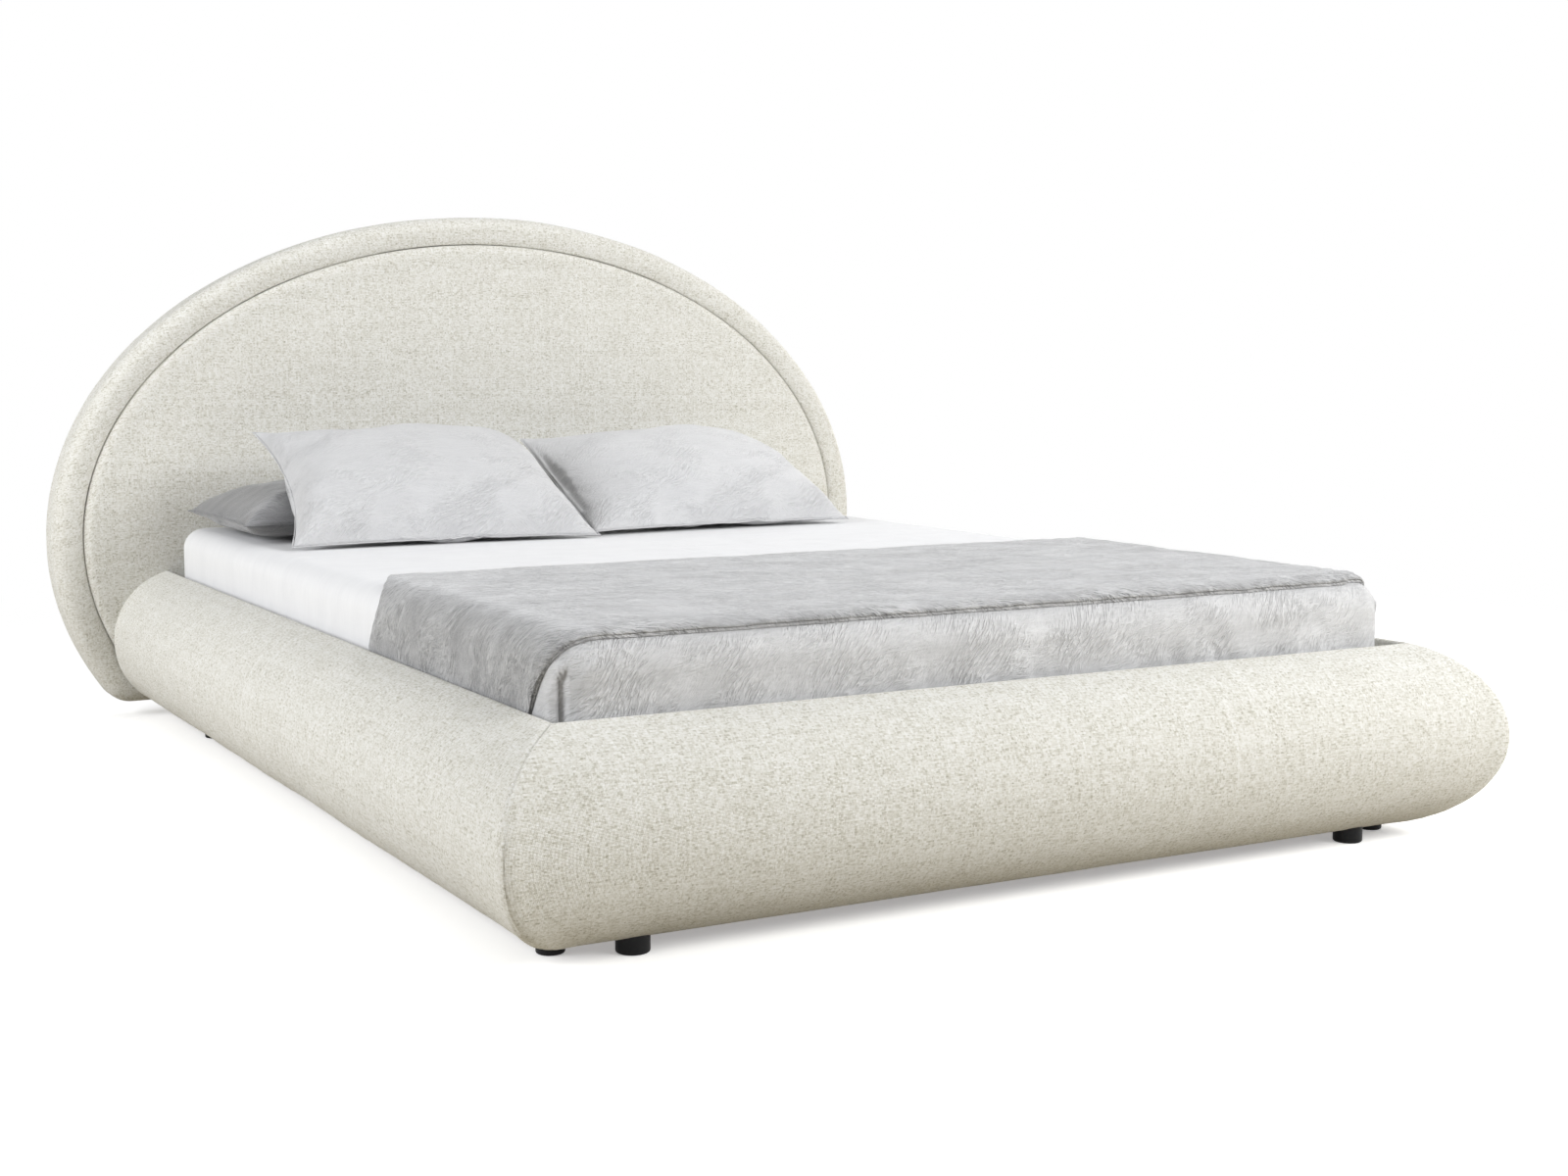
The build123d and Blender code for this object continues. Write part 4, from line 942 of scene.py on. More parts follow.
# Drawn back a little from the throw, whose head edge pulls in at the shoulder
COVERLET_HEAD = FOOT_Y + 672 * MM
COVERLET_HEM = 225 * MM
COVERLET_FRONT = MATTRESS_Y - MATTRESS_HALF_LENGTH - 7.5 * MM
counts = (80, 90, 330)
insets = np.concatenate([np.arange(6, 60, 8), np.arange(66, 600, 30), [618, 629]]) * MM
outer, run = block_grid(7.5 * MM, COVERLET_HEM, counts, 26, 13, insets, head=COVERLET_HEAD, whole=False)
inner, _ = block_grid(1.9 * MM, COVERLET_HEM, counts, 26, 13, insets, head=COVERLET_HEAD, whole=False)
normals = outward(outer)
around_run = run_of(outer[0])
s = np.broadcast_to(around_run[None, :], outer.shape[:2])
v = np.broadcast_to(run[:, None], outer.shape[:2])
x, y, z = outer[..., 0], outer[..., 1], outer[..., 2]
CORNER_COLUMN = counts[0] + 35
foot_left = around_run[CORNER_COLUMN]
foot_right = around_run[-1] - foot_left
facing_front = smooth(-y, -COVERLET_FRONT - 60 * MM, -COVERLET_FRONT - 4 * MM)
# Soft folds hang from the edge and grow towards the hem, leaning a little to one side
lean = s + (v - 0.1) * 0.3
fold = fractal(lean, v * 0.15, 100 * MM, 71, 2) + 0.8 * fractal(lean, v * 0.3, 44 * MM, 73, 2)
fold *= 0.35 + 1.3 * smooth(fractal(s, v * 0.1, 310 * MM, 72, 1), -0.3, 0.4)
growth = smooth(-z, -MATTRESS_TOP, -290 * MM)
fine = creases(s, v, 15 * MM, 3.2, 1.05, 75, 1.4) - 0.35
fine_growth = smooth(-z, -MATTRESS_TOP - 4 * MM, -385 * MM)
folds = (3.4 * MM * fold - 0.4 * MM) * growth + 0.7 * MM * fine * fine_growth
push = folds * facing_front
push += 1.4 * MM * bell(z, 389 * MM, 8 * MM) * facing_front
# The pleat: a rolled lip hangs over a dark recess, pinched in a hook at its top, with a soft bulge past it
PLEAT_TOP = 363 * MM
over = np.zeros_like(push)
for centre, way in ((foot_left, 1), (foot_right, -1)):
    hook = 13 * MM * smooth(z, PLEAT_TOP - 20 * MM, PLEAT_TOP + 4 * MM)
    place = (s - centre) * way - hook
    depth = smooth(-z, -PLEAT_TOP - 2 * MM, -PLEAT_TOP + 7 * MM)
    above = smooth(-z, -PLEAT_TOP - 14 * MM, -PLEAT_TOP)
    wide = 20 * MM - 1.1 * hook
    recess = -4.7 * MM * smooth(place, -0.4 * MM, 0.9 * MM) * (1 - smooth(place, 0.35 * wide, wide))
    roll = 3.0 * MM * bell(place, -8 * MM, 9 * MM)
    pinch = 1.6 * MM * bell(place, -1 * MM, 2.6 * MM) * above * (1 - depth)
    bulge = 2.6 * MM * bell(place, 33 * MM, 10 * MM)
    near = bell(place, 8 * MM, 40 * MM)
    push = push * (1 - 0.85 * near) + roll * above + recess * depth + pinch + bulge * above
    over += way * 2.6 * MM * bell(place, -0.6 * MM, 3.4 * MM) * depth * (place < 0.5 * MM)
outer = outer + unit(np.gradient(outer, axis=1)) * over[..., None]
under_throw = smooth(y, FOOT_Y + 34 * MM, FOOT_Y + 52 * MM) * smooth(z, 330 * MM, 350 * MM)
push = np.where(push > 0, push * (1 - under_throw), push)
side_leg = smooth(y, COVERLET_FRONT + 66 * MM, COVERLET_FRONT + 110 * MM)
push *= 1 - 0.92 * side_leg
outer = outer + normals * np.maximum(push, -4.9 * MM)[..., None]
mesh = shell_mesh("coverlet_cloth", outer, inner, paired(s, v))
coverlet = give(new_object("coverlet_cloth", mesh), COVERLET_CLOTH)
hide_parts("coverlet")
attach(coverlet, "mattress")


# Throw: washed linen folded double, its folded edge showing two layers at the foot

THROW_HEM = 250 * MM
THROW_TOP, THROW_UNDERSIDE = 412.8 * MM, 401.3 * MM
THROW_EDGE, THROW_INNER_EDGE = 52.5 * MM, 48.0 * MM
THROW_TURN = 360.3 * MM
THROW_LENGTH = 729
RIGHT_DROP = 60 * MM
# Height in mm, and how far from the foot the cloth ends there: at its head edge and at its foot edge
HEAD_CURVE = (
    (250, 752), (310, 732), (340, 709), (360, 695), (372, 688), (385, 692), (398, 706), (408, 729),
    (412.8, 762),
)
EDGE_CURVE = (
    (250, 129.5), (306, 92.5), (333, 75.5), (360, 58.5), (370, 53.5),
    (380, 49.5), (390, 45.5), (398, 44), (409, 40), (412.8, 37),
)


def across_block(y, side_growth, end_growth, top, edge, hem, counts):
    """Points across the bed at given lengths y (rows by columns): up one side, over, and down the other."""
    side_count, arc_count, top_count = counts
    half = MATTRESS_HALF + side_growth
    corner = MATTRESS_CORNER + side_growth
    front = MATTRESS_Y - MATTRESS_HALF_LENGTH - end_growth
    centre_y = front + corner
    past = np.maximum(centre_y - y, 0)
    reach = np.minimum(edge, np.maximum(y - front, 0.5 * MM))
    turn = np.arccos(np.clip(1 - reach / edge, -1, 1))
    columns = y.shape[1]
    x, z = np.zeros_like(y), np.zeros_like(y)

    def plan_x(inset, shift):
        ring = np.sqrt(np.maximum((corner - inset) ** 2 - shift ** 2, 0))
        return np.where(shift > 0, half - corner + ring, half - inset)

    for index in range(columns):
        mirror = min(index, columns - 1 - index)
        sign = -1 if index < columns / 2 else 1
        if mirror < side_count:
            share = mirror / side_count
            x[:, index] = sign * plan_x(0, past[:, index])
            z[:, index] = hem + (top - edge - hem) * share
        elif mirror < side_count + arc_count:
            angle = turn[:, index] * (mirror - side_count) / arc_count
            inset = edge * (1 - np.cos(angle))
            x[:, index] = sign * plan_x(inset, past[:, index])
            z[:, index] = top - edge + edge * np.sin(angle)
        else:
            share = (index - side_count - arc_count) / (top_count - 1)
            inner_x = plan_x(reach[:, index], past[:, index])
            x[:, index] = -inner_x + 2 * inner_x * share
            z[:, index] = top - edge + edge * np.sin(turn[:, index])
    return np.stack([x, y, z], -1)


counts = side_count, arc_count, top_count = 19, 14, 236
columns = 2 * (side_count + arc_count) + top_count
rise = []
for index in range(columns):
    mirror = min(index, columns - 1 - index)
    if mirror < side_count:
        rise.append(THROW_HEM + (THROW_TURN - THROW_HEM) * mirror / side_count)
    elif mirror < side_count + arc_count:
        rise.append(THROW_TURN + THROW_EDGE * math.sin(math.pi / 2 * (mirror - side_count) / arc_count))
    else:
        rise.append(THROW_TOP)
starts, ends = (
    FOOT_Y + np.interp(np.array(rise) / MM, *zip(*curve)) * MM for curve in (EDGE_CURVE, HEAD_CURVE)
)
wander = fractal(np.arange(columns) * 5.5 * MM, np.zeros(columns), 130 * MM, 81, 2)
starts = starts + 2.0 * MM * wander
# The throw lies a little askew: its foot edge drops over the right shoulder farther from the foot
along_edge = np.arange(columns) - (columns - 1) / 2
starts = starts + RIGHT_DROP * smooth(along_edge, 0.475 * top_count, 0.6 * top_count)
ends = ends - (1.5 + 1.5 * wander[::-1]) * MM
# Closer rows near the folded edge
share = np.concatenate([[0, 0.9, 2.4, 4.6, 7.6], np.linspace(12, THROW_LENGTH, 124)]) / THROW_LENGTH
y = starts[None, :] + (ends - starts)[None, :] * share[:, None]
outer = across_block(y, 12.5 * MM, 7.5 * MM, THROW_TOP, THROW_EDGE, THROW_HEM, counts)
inner = across_block(y, 8.0 * MM, 7.9 * MM, THROW_UNDERSIDE, THROW_INNER_EDGE, THROW_HEM, counts)
STRAIGHT_ROW = 40
p = run_of(outer[STRAIGHT_ROW])
p = np.broadcast_to((p - p[-1] / 2)[None, :], y.shape)
q = y - FOOT_Y
normals = outward(outer)
x, z = outer[..., 0], outer[..., 2]
on_side = smooth(-z, -404 * MM, -368 * MM)
below_rail = smooth(-z, -322 * MM, -306 * MM)
# Slack folds on the hanging side lean towards the foot corner
leaning = q + (z - 0.33) * 0.55
slack = fractal(leaning, z * 0.3, 62 * MM, 83, 2) + 0.35 * fractal(leaning, z * 0.5, 24 * MM, 85, 2)
shoulder = bell(z, 398 * MM, 12 * MM) * (z < 411 * MM)
rumple = fractal(p, q, 90 * MM, 87, 3)
fine = creases(p, q, 20 * MM, 3.0, 0.9, 89, 1.4) - 0.3
near_foot = np.exp(-(y - starts[None, :]) / (90 * MM))
push = 4.2 * MM * slack * on_side * (1 - 0.75 * below_rail)
push += (1.3 * MM * rumple + (0.8 + 1.1 * near_foot) * MM * fine) * (1 - 0.6 * below_rail)
push += 1.0 * MM * shoulder * fractal(q, p * 0.2, 45 * MM, 91, 2)
low = np.where(z < 395 * MM, -2.9 * MM, -4 * MM)
high = np.where(z < 312 * MM, 1.2 * MM, 7 * MM)
outer = outer + normals * np.clip(push, low, high)[..., None]
# Rounded double edge at the foot end: two lips with a groove between
lip = []
towards = unit(outer[0] - outer[3])
thick = np.linalg.norm(outer[0] - inner[0], axis=1, keepdims=True)
for share_down, stand in (
    (0.10, 1.4), (0.24, 2.3), (0.38, 1.3), (0.49, -2.2), (0.60, 1.3), (0.76, 2.2), (0.90, 1.2),
):
    between = outer[0] * (1 - share_down) + inner[0] * share_down
    lip.append(between + towards * stand * MM * np.minimum(thick / (11 * MM), 1) ** 0.5)
mesh = shell_mesh("throw_cloth", outer, inner, paired(p, q), rim=np.array(lip)[::-1])
throw = give(new_object("throw_cloth", mesh), THROW_CLOTH)
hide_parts("throw")
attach(throw, "mattress")


# Pillows

PILLOW_WIDTH, PILLOW_HEIGHT = 600 * MM, 440 * MM
PILLOW_PAST_CAD = 3 * MM
SEAM_RADIUS = 1.3 * MM


def flat_case(width, height, columns, rows, seed):
    """Two layers of cloth sewn round their edge, barely open: the mesh and each layer's point numbers."""
    randomness = random.Random(seed)
    verts = []
    index = np.zeros((2, rows + 1, columns + 1), int)
    for layer in (0, 1):
        for r in range(rows + 1):
            for c in range(columns + 1):
                if layer and (r in (0, rows) or c in (0, columns)):
                    index[1, r, c] = index[0, r, c]
                    continue
                u, v = c / columns, r / rows
                lift = math.sin(math.pi * u) * math.sin(math.pi * v) * (8 + randomness.uniform(-1, 1)) * MM
                index[layer, r, c] = len(verts)
                verts.append(((u - 0.5) * width, (v - 0.5) * height, -lift if layer else lift))
    faces = []
    for layer in (0, 1):
        for r in range(rows):
            for c in range(columns):
                ring = [index[layer, r + j, c + i] for i, j in ((0, 0), (1, 0), (1, 1), (0, 1))]
                faces.append(ring[::-1] if layer else ring)
    mesh = bpy.data.meshes.new("pillow_case")
    mesh.from_pydata(verts, [], faces)
    mesh.update()
    return mesh, index


def ring_of(grid):
    """The border of a grid, once round."""
    return np.concatenate([grid[0, :-1], grid[:-1, -1], grid[-1, :0:-1], grid[:0:-1, 0]])


def soften(values, reach, around=False):
    """Running average over a line or a grid, with a bell-shaped weight."""
    steps = np.arange(-3 * reach, 3 * reach + 1)
    weight = np.exp(-(steps / reach) ** 2 / 2)
    weight /= weight.sum()
    style = {"mode": "wrap"} if around else {"mode": "reflect", "reflect_type": "odd"}
    for axis in range(1 if around else 2):
        pad = [(0, 0)] * values.ndim
        pad[axis] = (3 * reach, 3 * reach)
        wide = np.pad(values, pad, **style)
        values = sum(w * np.take(wide, range(i, i + values.shape[axis]), axis) for i, w in enumerate(weight))
    return values


def blend_in(border, shape):
    """Spread what the border of a grid moves by evenly over its inside."""
    v, u = np.meshgrid(np.linspace(0, 1, shape[0]), np.linspace(0, 1, shape[1]), indexing="ij")
    u, v = u[..., None], v[..., None]
    low, high, left, right = border[0][None], border[-1][None], border[:, :1], border[:, -1:]
    corners = (1 - u) * (1 - v) * border[0, 0] + u * (1 - v) * border[0, -1]
    corners = corners + (1 - u) * v * border[-1, 0] + u * v * border[-1, -1]
    return (1 - v) * low + v * high + (1 - u) * left + u * right - corners


def inflate(mesh, frames):
    """Blow the case up as cloth and return the points that it settles at."""
    case = new_object("pillow_in_making", mesh)
    cloth = case.modifiers.new("cloth", "CLOTH")
    for setting, value in (
        ("quality", 6), ("mass", 0.25), ("air_damping", 2), ("tension_stiffness", 30),
        ("compression_stiffness", 30), ("shear_stiffness", 8), ("bending_stiffness", 0.6),
        ("use_pressure", True), ("uniform_pressure_force", 3.0),
    ):
        setattr(cloth.settings, setting, value)
    cloth.settings.effector_weights.gravity = 0
    cloth.point_cache.frame_end = frames
    scene = bpy.context.scene
    for frame_number in range(1, frames + 1):
        scene.frame_set(frame_number)
    shaped = case.evaluated_get(bpy.context.evaluated_depsgraph_get())
    points = np.empty(len(mesh.vertices) * 3)
    shaped.data.vertices.foreach_get("co", points)
    bpy.data.objects.remove(case)
    scene.frame_set(1)
    return points.reshape(-1, 3)


def cad_height(surface, points, place, way):
    """How far the CAD pillow reaches above (1) or below (-1) given points of its seam plane."""
    middle, across, out = (np.array(part) for part in place)
    up = np.cross(out, across)
    reach = np.zeros(points.shape[:2])
    for r in range(points.shape[0]):
        for c in range(points.shape[1]):
            start = middle + points[r, c, 0] * across + points[r, c, 1] * up + way * 0.25 * out
            hit = surface.ray_cast(Vector(start), Vector(-way * out))[0]
            if hit is not None:
                reach[r, c] = np.dot(np.array(hit) - middle, out)
    return reach


def seam_line(u, v, taper, draws, round_corner):
    """Where a pillow's seam runs, on the border of a grid: narrower at the top, its sides drawn in."""
    left, right, low, top = (draw * MM for draw in draws)
    half = PILLOW_WIDTH / 2 - taper / 2 * (v + 1) / 2
    seam = np.zeros((len(v), len(u), 3))
    for row, sign, draw in ((0, -1, low), (-1, 1, top)):
        seam[row, :, 0] = u * half[row]
        seam[row, :, 1] = sign * (PILLOW_HEIGHT / 2 - draw * (1 - u ** 2))
    for column, sign, draw in ((0, -1, left), (-1, 1, right)):
        seam[:, column, 0] = sign * (half - draw * (1 - v ** 2))
        seam[:, column, 1] = v * PILLOW_HEIGHT / 2
    if round_corner:
        from_tip = np.linalg.norm(seam - seam[-1, -1], axis=-1)
        near = np.exp(-(from_tip / (70 * MM)) ** 1.5)[..., None]
        seam = seam + near * np.array([-0.95, -0.6, -0.35]) * round_corner
    return seam, half


def pillow(name, node, body, material, place, size, seed, lean, round_corner=0.0,
           draws=(28, 18, 7, 20), rumple=2.4, flank=0.0, fullness=0.85):
    """A knife-edge pillow: a case blown up as cloth, set to its seam and kept near the CAD pillow's form.

    size is taper, crown and belly, in mm; draws are how far left, right, low and top seam draw in, in mm.
    """
    width, height = PILLOW_WIDTH, PILLOW_HEIGHT
    taper, crown, belly = (part * MM for part in size)
    columns, rows = 72, 54
    # The case is cut larger than the pillow, because it draws in as it fills
    cut_width, cut_height = width * 1.06, height * 1.07
    mesh, index = flat_case(cut_width, cut_height, columns, rows, seed)
    flat = np.array([v.co[:] for v in mesh.vertices])
    points = inflate(mesh, 26)
    corner = np.abs(flat[:, 0]) + np.abs(flat[:, 1]) > (cut_width + cut_height) / 2 - 1 * MM
    shrink = [side / 2 / np.abs(points[corner, axis]).mean() for axis, side in enumerate((width, height))]
    points = points * [*shrink, 1]
    upper, lower = points[index[0]], points[index[1]]
    u, v = np.linspace(-1, 1, columns + 1), np.linspace(-1, 1, rows + 1)
    seam, half = seam_line(u, v, taper, draws, round_corner)
    # Small tucks of the blown-up seam stay in it
    ring = ring_of(upper)
    tucks = np.clip(ring - soften(ring, 3, around=True), -2.5 * MM, 2.5 * MM)
    border = np.zeros_like(upper)
    ring_rows, ring_columns = (
        ring_of(g) for g in np.meshgrid(range(rows + 1), range(columns + 1), indexing="ij")
    )
    border[ring_rows, ring_columns] = ring_of(seam) + tucks - ring
    shift = blend_in(border, upper.shape)
    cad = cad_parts[node].data
    surface = BVHTree.FromPolygons([v.co[:] for v in cad.vertices], [p.vertices[:] for p in cad.polygons])
    world = np.zeros_like(points)
    middle, across, out = (np.array(part) for part in place)
    up = np.cross(out, across)
    inside = smooth(np.minimum(1 - np.abs(u)[None, :], 1 - np.abs(v)[:, None]), 0, 0.07)
    for layer, grid, way, full in ((0, upper, 1, crown), (1, lower, -1, belly)):
        moved = grid + shift
        even = paired(u * half[:, None], v[:, None] * height / 2)
        moved[..., :2] = even + soften(moved[..., :2] - even, 2)
        x, y = moved[..., 0], moved[..., 1]
        swell = np.clip(way * moved[..., 2], 0, None)
        swell = soften((swell / swell.max()) ** fullness, 2)
        to_side, to_end = half[:, None] - np.abs(x), height / 2 - np.abs(y)
        to_edge, along = np.minimum(to_side, to_end), np.where(to_side < to_end, y, x)
        outer_part = smooth(np.maximum(np.abs(x) / (width / 2), np.abs(y) / (height / 2)), 0.5, 0.95)
        # Broad dents, finer creases that grow outwards, and tucks that run in from the seam
        dents = rumple * MM * fractal(x + 0.4 * y, y - 0.2 * x, 70 * MM + 60 * MM / rumple, seed, 2)
        lines = creases(x, y, 34 * MM, 4, 0.5 + seed, seed + 40, 1.6) - 0.25
        dents += 0.7 * MM * lines * (0.35 + outer_part)
        tucked = fractal(along, to_edge * 0.25, 15 * MM, seed + 60, 2)
        dents += 1.2 * MM * tucked * np.exp(-to_edge / (24 * MM))
        rise = full * swell * (1 + lean[0] * x / (width / 2) - lean[1] * y / (height / 2))
        rise = rise * (1 - flank * bell(x, -half[:, None], 85 * MM))
        reach = way * cad_height(surface, moved, place, way)
        rise = np.minimum(rise + dents * inside, reach + PILLOW_PAST_CAD)
        moved[..., 2] = way * np.maximum(rise, 0) * inside + moved[..., 2] * (1 - inside)
        world[index[layer]] = middle + moved[..., :1] * across + moved[..., 1:2] * up + moved[..., 2:] * out
    world[:, 2] = np.maximum(world[:, 2], SHEET_TOP + 0.5 * MM)
    mesh.vertices.foreach_set("co", world.reshape(-1))
    layer = mesh.uv_layers.new(name="cloth")
    loops = np.empty(len(mesh.loops), int)
    mesh.loops.foreach_get("vertex_index", loops)
    layer.data.foreach_set("uv", flat[loops][:, :2].reshape(-1))
    shade_smooth(mesh)
    piece = give(new_object(name, mesh), material)
    detail = piece.modifiers.new("detail", "SUBSURF")
    detail.levels = detail.render_levels = 1
    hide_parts(node)
    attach(piece, body)
    seam_welt(name + "_seam", world[ring_of(index[0])], out, body, material)


def seam_welt(name, path, out, body, material):
    """The thin welt of cloth that stands along a seam which is turned in and stitched."""
    turn = np.linspace(0, 2 * math.pi, 7)[:-1, None]
    forward = unit(np.roll(path, -1, 0) - np.roll(path, 1, 0))
    side = unit(np.cross(forward, out))
    tube = path[:, None, :] + SEAM_RADIUS * (np.cos(turn) * side[:, None, :] + np.sin(turn) * out)
    tube[..., 2] = np.maximum(tube[..., 2], SHEET_TOP + 0.4 * MM)
    uv = paired(run_of(path, closed=True)[:, None], (np.arange(7) * 1.5 * MM)[None, :])
    mesh = grid_mesh(name, tube, uv, around=True, along=True)
    merge_doubles(mesh)
    cord = give(new_object(name, mesh), material)
    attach(cord, body)


def pillow_place(x, from_head, rise, tilt, turn):
    """Seam plane of a pillow, as in the CAD part: its middle, its long direction and its outward normal."""
    tilt, turn = math.radians(tilt), math.radians(turn)
    across = np.array([math.cos(turn), math.sin(turn), 0])
    out = np.array([math.sin(turn) * math.sin(tilt), -math.cos(turn) * math.sin(tilt), math.cos(tilt)])
    return (x * MM, HEAD_Y - from_head * MM, SHEET_TOP + rise * MM), across, out


BACK_LEFT = pillow_place(-385, 283.5, 36.6, 0, 0)
BACK_RIGHT = pillow_place(300, 227.5, 30.8, 0, 0)
LEFT = pillow_place(-335, 465, 104.1, 26, -1.5)
RIGHT = pillow_place(257, 413, 92.5, 22, 3)
pillow(
    "dark_pillow_left", "back_pillow_left", "back_pillow_left", DARK_PILLOW_CLOTH, BACK_LEFT,
    (0, 70, 36), 3, lean=(0.0, 0.05), draws=(6, 18, 7, 14), rumple=5.0, fullness=0.6,
)
pillow(
    "dark_pillow_right", "back_pillow_right", "back_pillow_right", DARK_PILLOW_CLOTH,
    BACK_RIGHT, (0, 60, 30), 5, lean=(0.0, 0.1), rumple=3.0,
)
pillow(
    "pale_pillow_left", "pillow_left", "pillow_left", PILLOW_CLOTH, LEFT, (60, 78, 28),
    7, lean=(0.08, 0.42), round_corner=40 * MM, draws=(32, 34, 7, 14), fullness=0.72,
)
pillow(
    "pale_pillow_right", "pillow_right", "pillow_right", PILLOW_CLOTH, RIGHT, (75, 78, 28),
    11, lean=(0.06, 0.28), round_corner=30 * MM, draws=(-4, 14, 7, 14), flank=0.4, fullness=0.78,
)


# Slat belt: webbing that sags a little between the slats it is stapled to
low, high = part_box("slat_belt")
SLAT_GAPS, END_SLAT, BELT_THICK = 25, 40 * MM, 1.5 * MM
x, y = np.linspace(low[0], high[0], 9), np.linspace(low[1], high[1], 400)
pitch = (2 * MATTRESS_HALF_LENGTH - 2 * END_SLAT) / SLAT_GAPS
phase = (y - (MATTRESS_Y - MATTRESS_HALF_LENGTH + END_SLAT)) / pitch
sag = 1.1 * MM * (0.5 - 0.5 * np.cos(2 * math.pi * phase))
top = paired(x[None, :], y[:, None], (high[2] - 0.05 * MM - sag)[:, None])
mesh = shell_mesh(
    "slat_belt_webbing", top, top - np.array([0, 0, BELT_THICK]), paired(x[None, :], y[:, None]),
)
belt = give(new_object("slat_belt_webbing", mesh), WEBBING)
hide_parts("slat_belt")
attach(belt, "slat_base")

# Back cloth: black lining, pulled flat and stapled round its edge
LINING_FRONT, LINING_BACK = 86.2 * MM, 87.4 * MM
outline = headboard_loop(LINING_INSET)
rings = np.array([outline, *(pad_centre + (outline - pad_centre) * s for s in np.linspace(0.985, 0.004, 44))])
depth = LINING_BACK + 0.35 * MM * fractal(rings[..., 0], rings[..., 1], 160 * MM, 95, 2)
outer = np.stack([rings[..., 0], HEAD_Y + depth, rings[..., 1]], -1)
inner = outer.copy()
inner[..., 1] = HEAD_Y + LINING_FRONT
mesh = shell_mesh("headboard_back_lining", outer, inner, rings, around=True)
lining = give(new_object("headboard_back_lining", mesh), BACK_CLOTH)
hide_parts("headboard_back_cloth")
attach(lining, "bed_frame")


# Staples, set along a path by one node tree

def staple_tree():
    """Node tree that sets wire staples along edges: named inputs for spacing, length, wire and unevenness."""
    tree = bpy.data.node_groups.new("staple_row", "GeometryNodeTree")
    tree.is_modifier = True
    for name, kind, value in (
        ("Path", "Geometry", None), ("Spacing", "Float", 0.04), ("Length", "Float", 0.01),
        ("Wire", "Float", 0.0006), ("Unevenness", "Float", 0.12), ("Seed", "Int", 1),
        ("Outward", "Vector", (0.0, 1.0, 0.0)), ("Material", "Material", None),
    ):
        socket = tree.interface.new_socket(name, in_out="INPUT", socket_type="NodeSocket" + kind)
        if value is not None:
            socket.default_value = value
    tree.interface.new_socket("Staples", in_out="OUTPUT", socket_type="NodeSocketGeometry")
    given = add_node(tree, "NodeGroupInput").outputs
    length, wire, uneven = given["Length"], given["Wire"], given["Unevenness"]
    curve = add_node(tree, "GeometryNodeMeshToCurve", {"Mesh": given["Path"]})
    spots = add_node(
        tree, "GeometryNodeCurveToPoints", {"Curve": curve, "Length": given["Spacing"]}, mode="LENGTH",
    )
    # Each staple lies along the path, faces outwards and is a little crooked
    turn = add_node(tree, "FunctionNodeAlignRotationToVector", {"Vector": spots.outputs["Tangent"]}, axis="X")
    faced = {"Rotation": turn, "Vector": given["Outward"]}
    turn = add_node(tree, "FunctionNodeAlignRotationToVector", faced, axis="Z", pivot_axis="X")
    least = add_node(tree, "ShaderNodeMath", {0: uneven, 1: -1.0}, operation="MULTIPLY")
    range_of = {2: least, 3: uneven, "Seed": given["Seed"]}
    swing = add_node(tree, "FunctionNodeRandomValue", range_of, data_type="FLOAT").outputs[1]
    swing = add_node(tree, "ShaderNodeCombineXYZ", {2: swing})
    turn = add_node(tree, "FunctionNodeRotateRotation", {0: turn, 1: swing}, rotation_space="LOCAL")
    # A crown and two legs of wire
    leg_length = add_node(tree, "ShaderNodeMath", {0: wire, 1: 4.0}, operation="MULTIPLY")
    crown, leg = (
        add_node(tree, "GeometryNodeMeshCylinder", {"Vertices": 6, "Radius": wire, "Depth": depth})
        for depth in (length, leg_length)
    )
    crown = add_node(tree, "GeometryNodeTransform", {0: crown, "Rotation": (0, math.pi / 2, 0)})
    staple = add_node(tree, "GeometryNodeJoinGeometry", {0: crown})
    for side in (-0.5, 0.5):
        offset = add_node(tree, "ShaderNodeMath", {0: length, 1: side}, operation="MULTIPLY")
        drop = add_node(tree, "ShaderNodeMath", {0: leg_length, 1: -0.45}, operation="MULTIPLY")
        place = add_node(tree, "ShaderNodeCombineXYZ", {0: offset, 2: drop})
        moved = add_node(tree, "GeometryNodeTransform", {0: leg, "Translation": place})
        tree.links.new(moved.outputs[0], staple.inputs[0])
    row = {"Points": spots.outputs["Points"], "Instance": staple, "Rotation": turn}
    copies = add_node(tree, "GeometryNodeInstanceOnPoints", row)
    real = add_node(tree, "GeometryNodeRealizeInstances", {0: copies})
    painted = add_node(tree, "GeometryNodeSetMaterial", {"Geometry": real, "Material": given["Material"]})
    add_node(tree, "NodeGroupOutput", {0: painted})
    return tree


STAPLE_TREE = staple_tree()


def staples(name, path, closed, outward, spacing, seed):
    """Real mesh of staples along a path of points."""
    count = len(path)
    edges = [(i, (i + 1) % count) for i in range(count if closed else count - 1)]
    line = bpy.data.meshes.new(name + "_path")
    line.from_pydata([tuple(p) for p in path], edges, [])
    holder = new_object(name + "_path", line)
    rows = holder.modifiers.new("staples", "NODES")
    rows.node_group = STAPLE_TREE
    values = {"Spacing": spacing, "Seed": seed, "Outward": outward, "Material": STAPLE_WIRE}
    for item in STAPLE_TREE.interface.items_tree:
        if item.item_type == "SOCKET" and item.in_out == "INPUT" and item.name in values:
            rows[item.identifier] = values[item.name]
    holder.update_tag()
    shaped = holder.evaluated_get(bpy.context.evaluated_depsgraph_get())
    mesh = bpy.data.meshes.new_from_object(shaped)
    holder.modifiers.clear()
    bpy.data.objects.remove(holder)
    mesh.name = name
    made = new_object(name, mesh)
    if not mesh.materials:
        mesh.materials.append(STAPLE_WIRE)
    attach(made, "bed_frame")


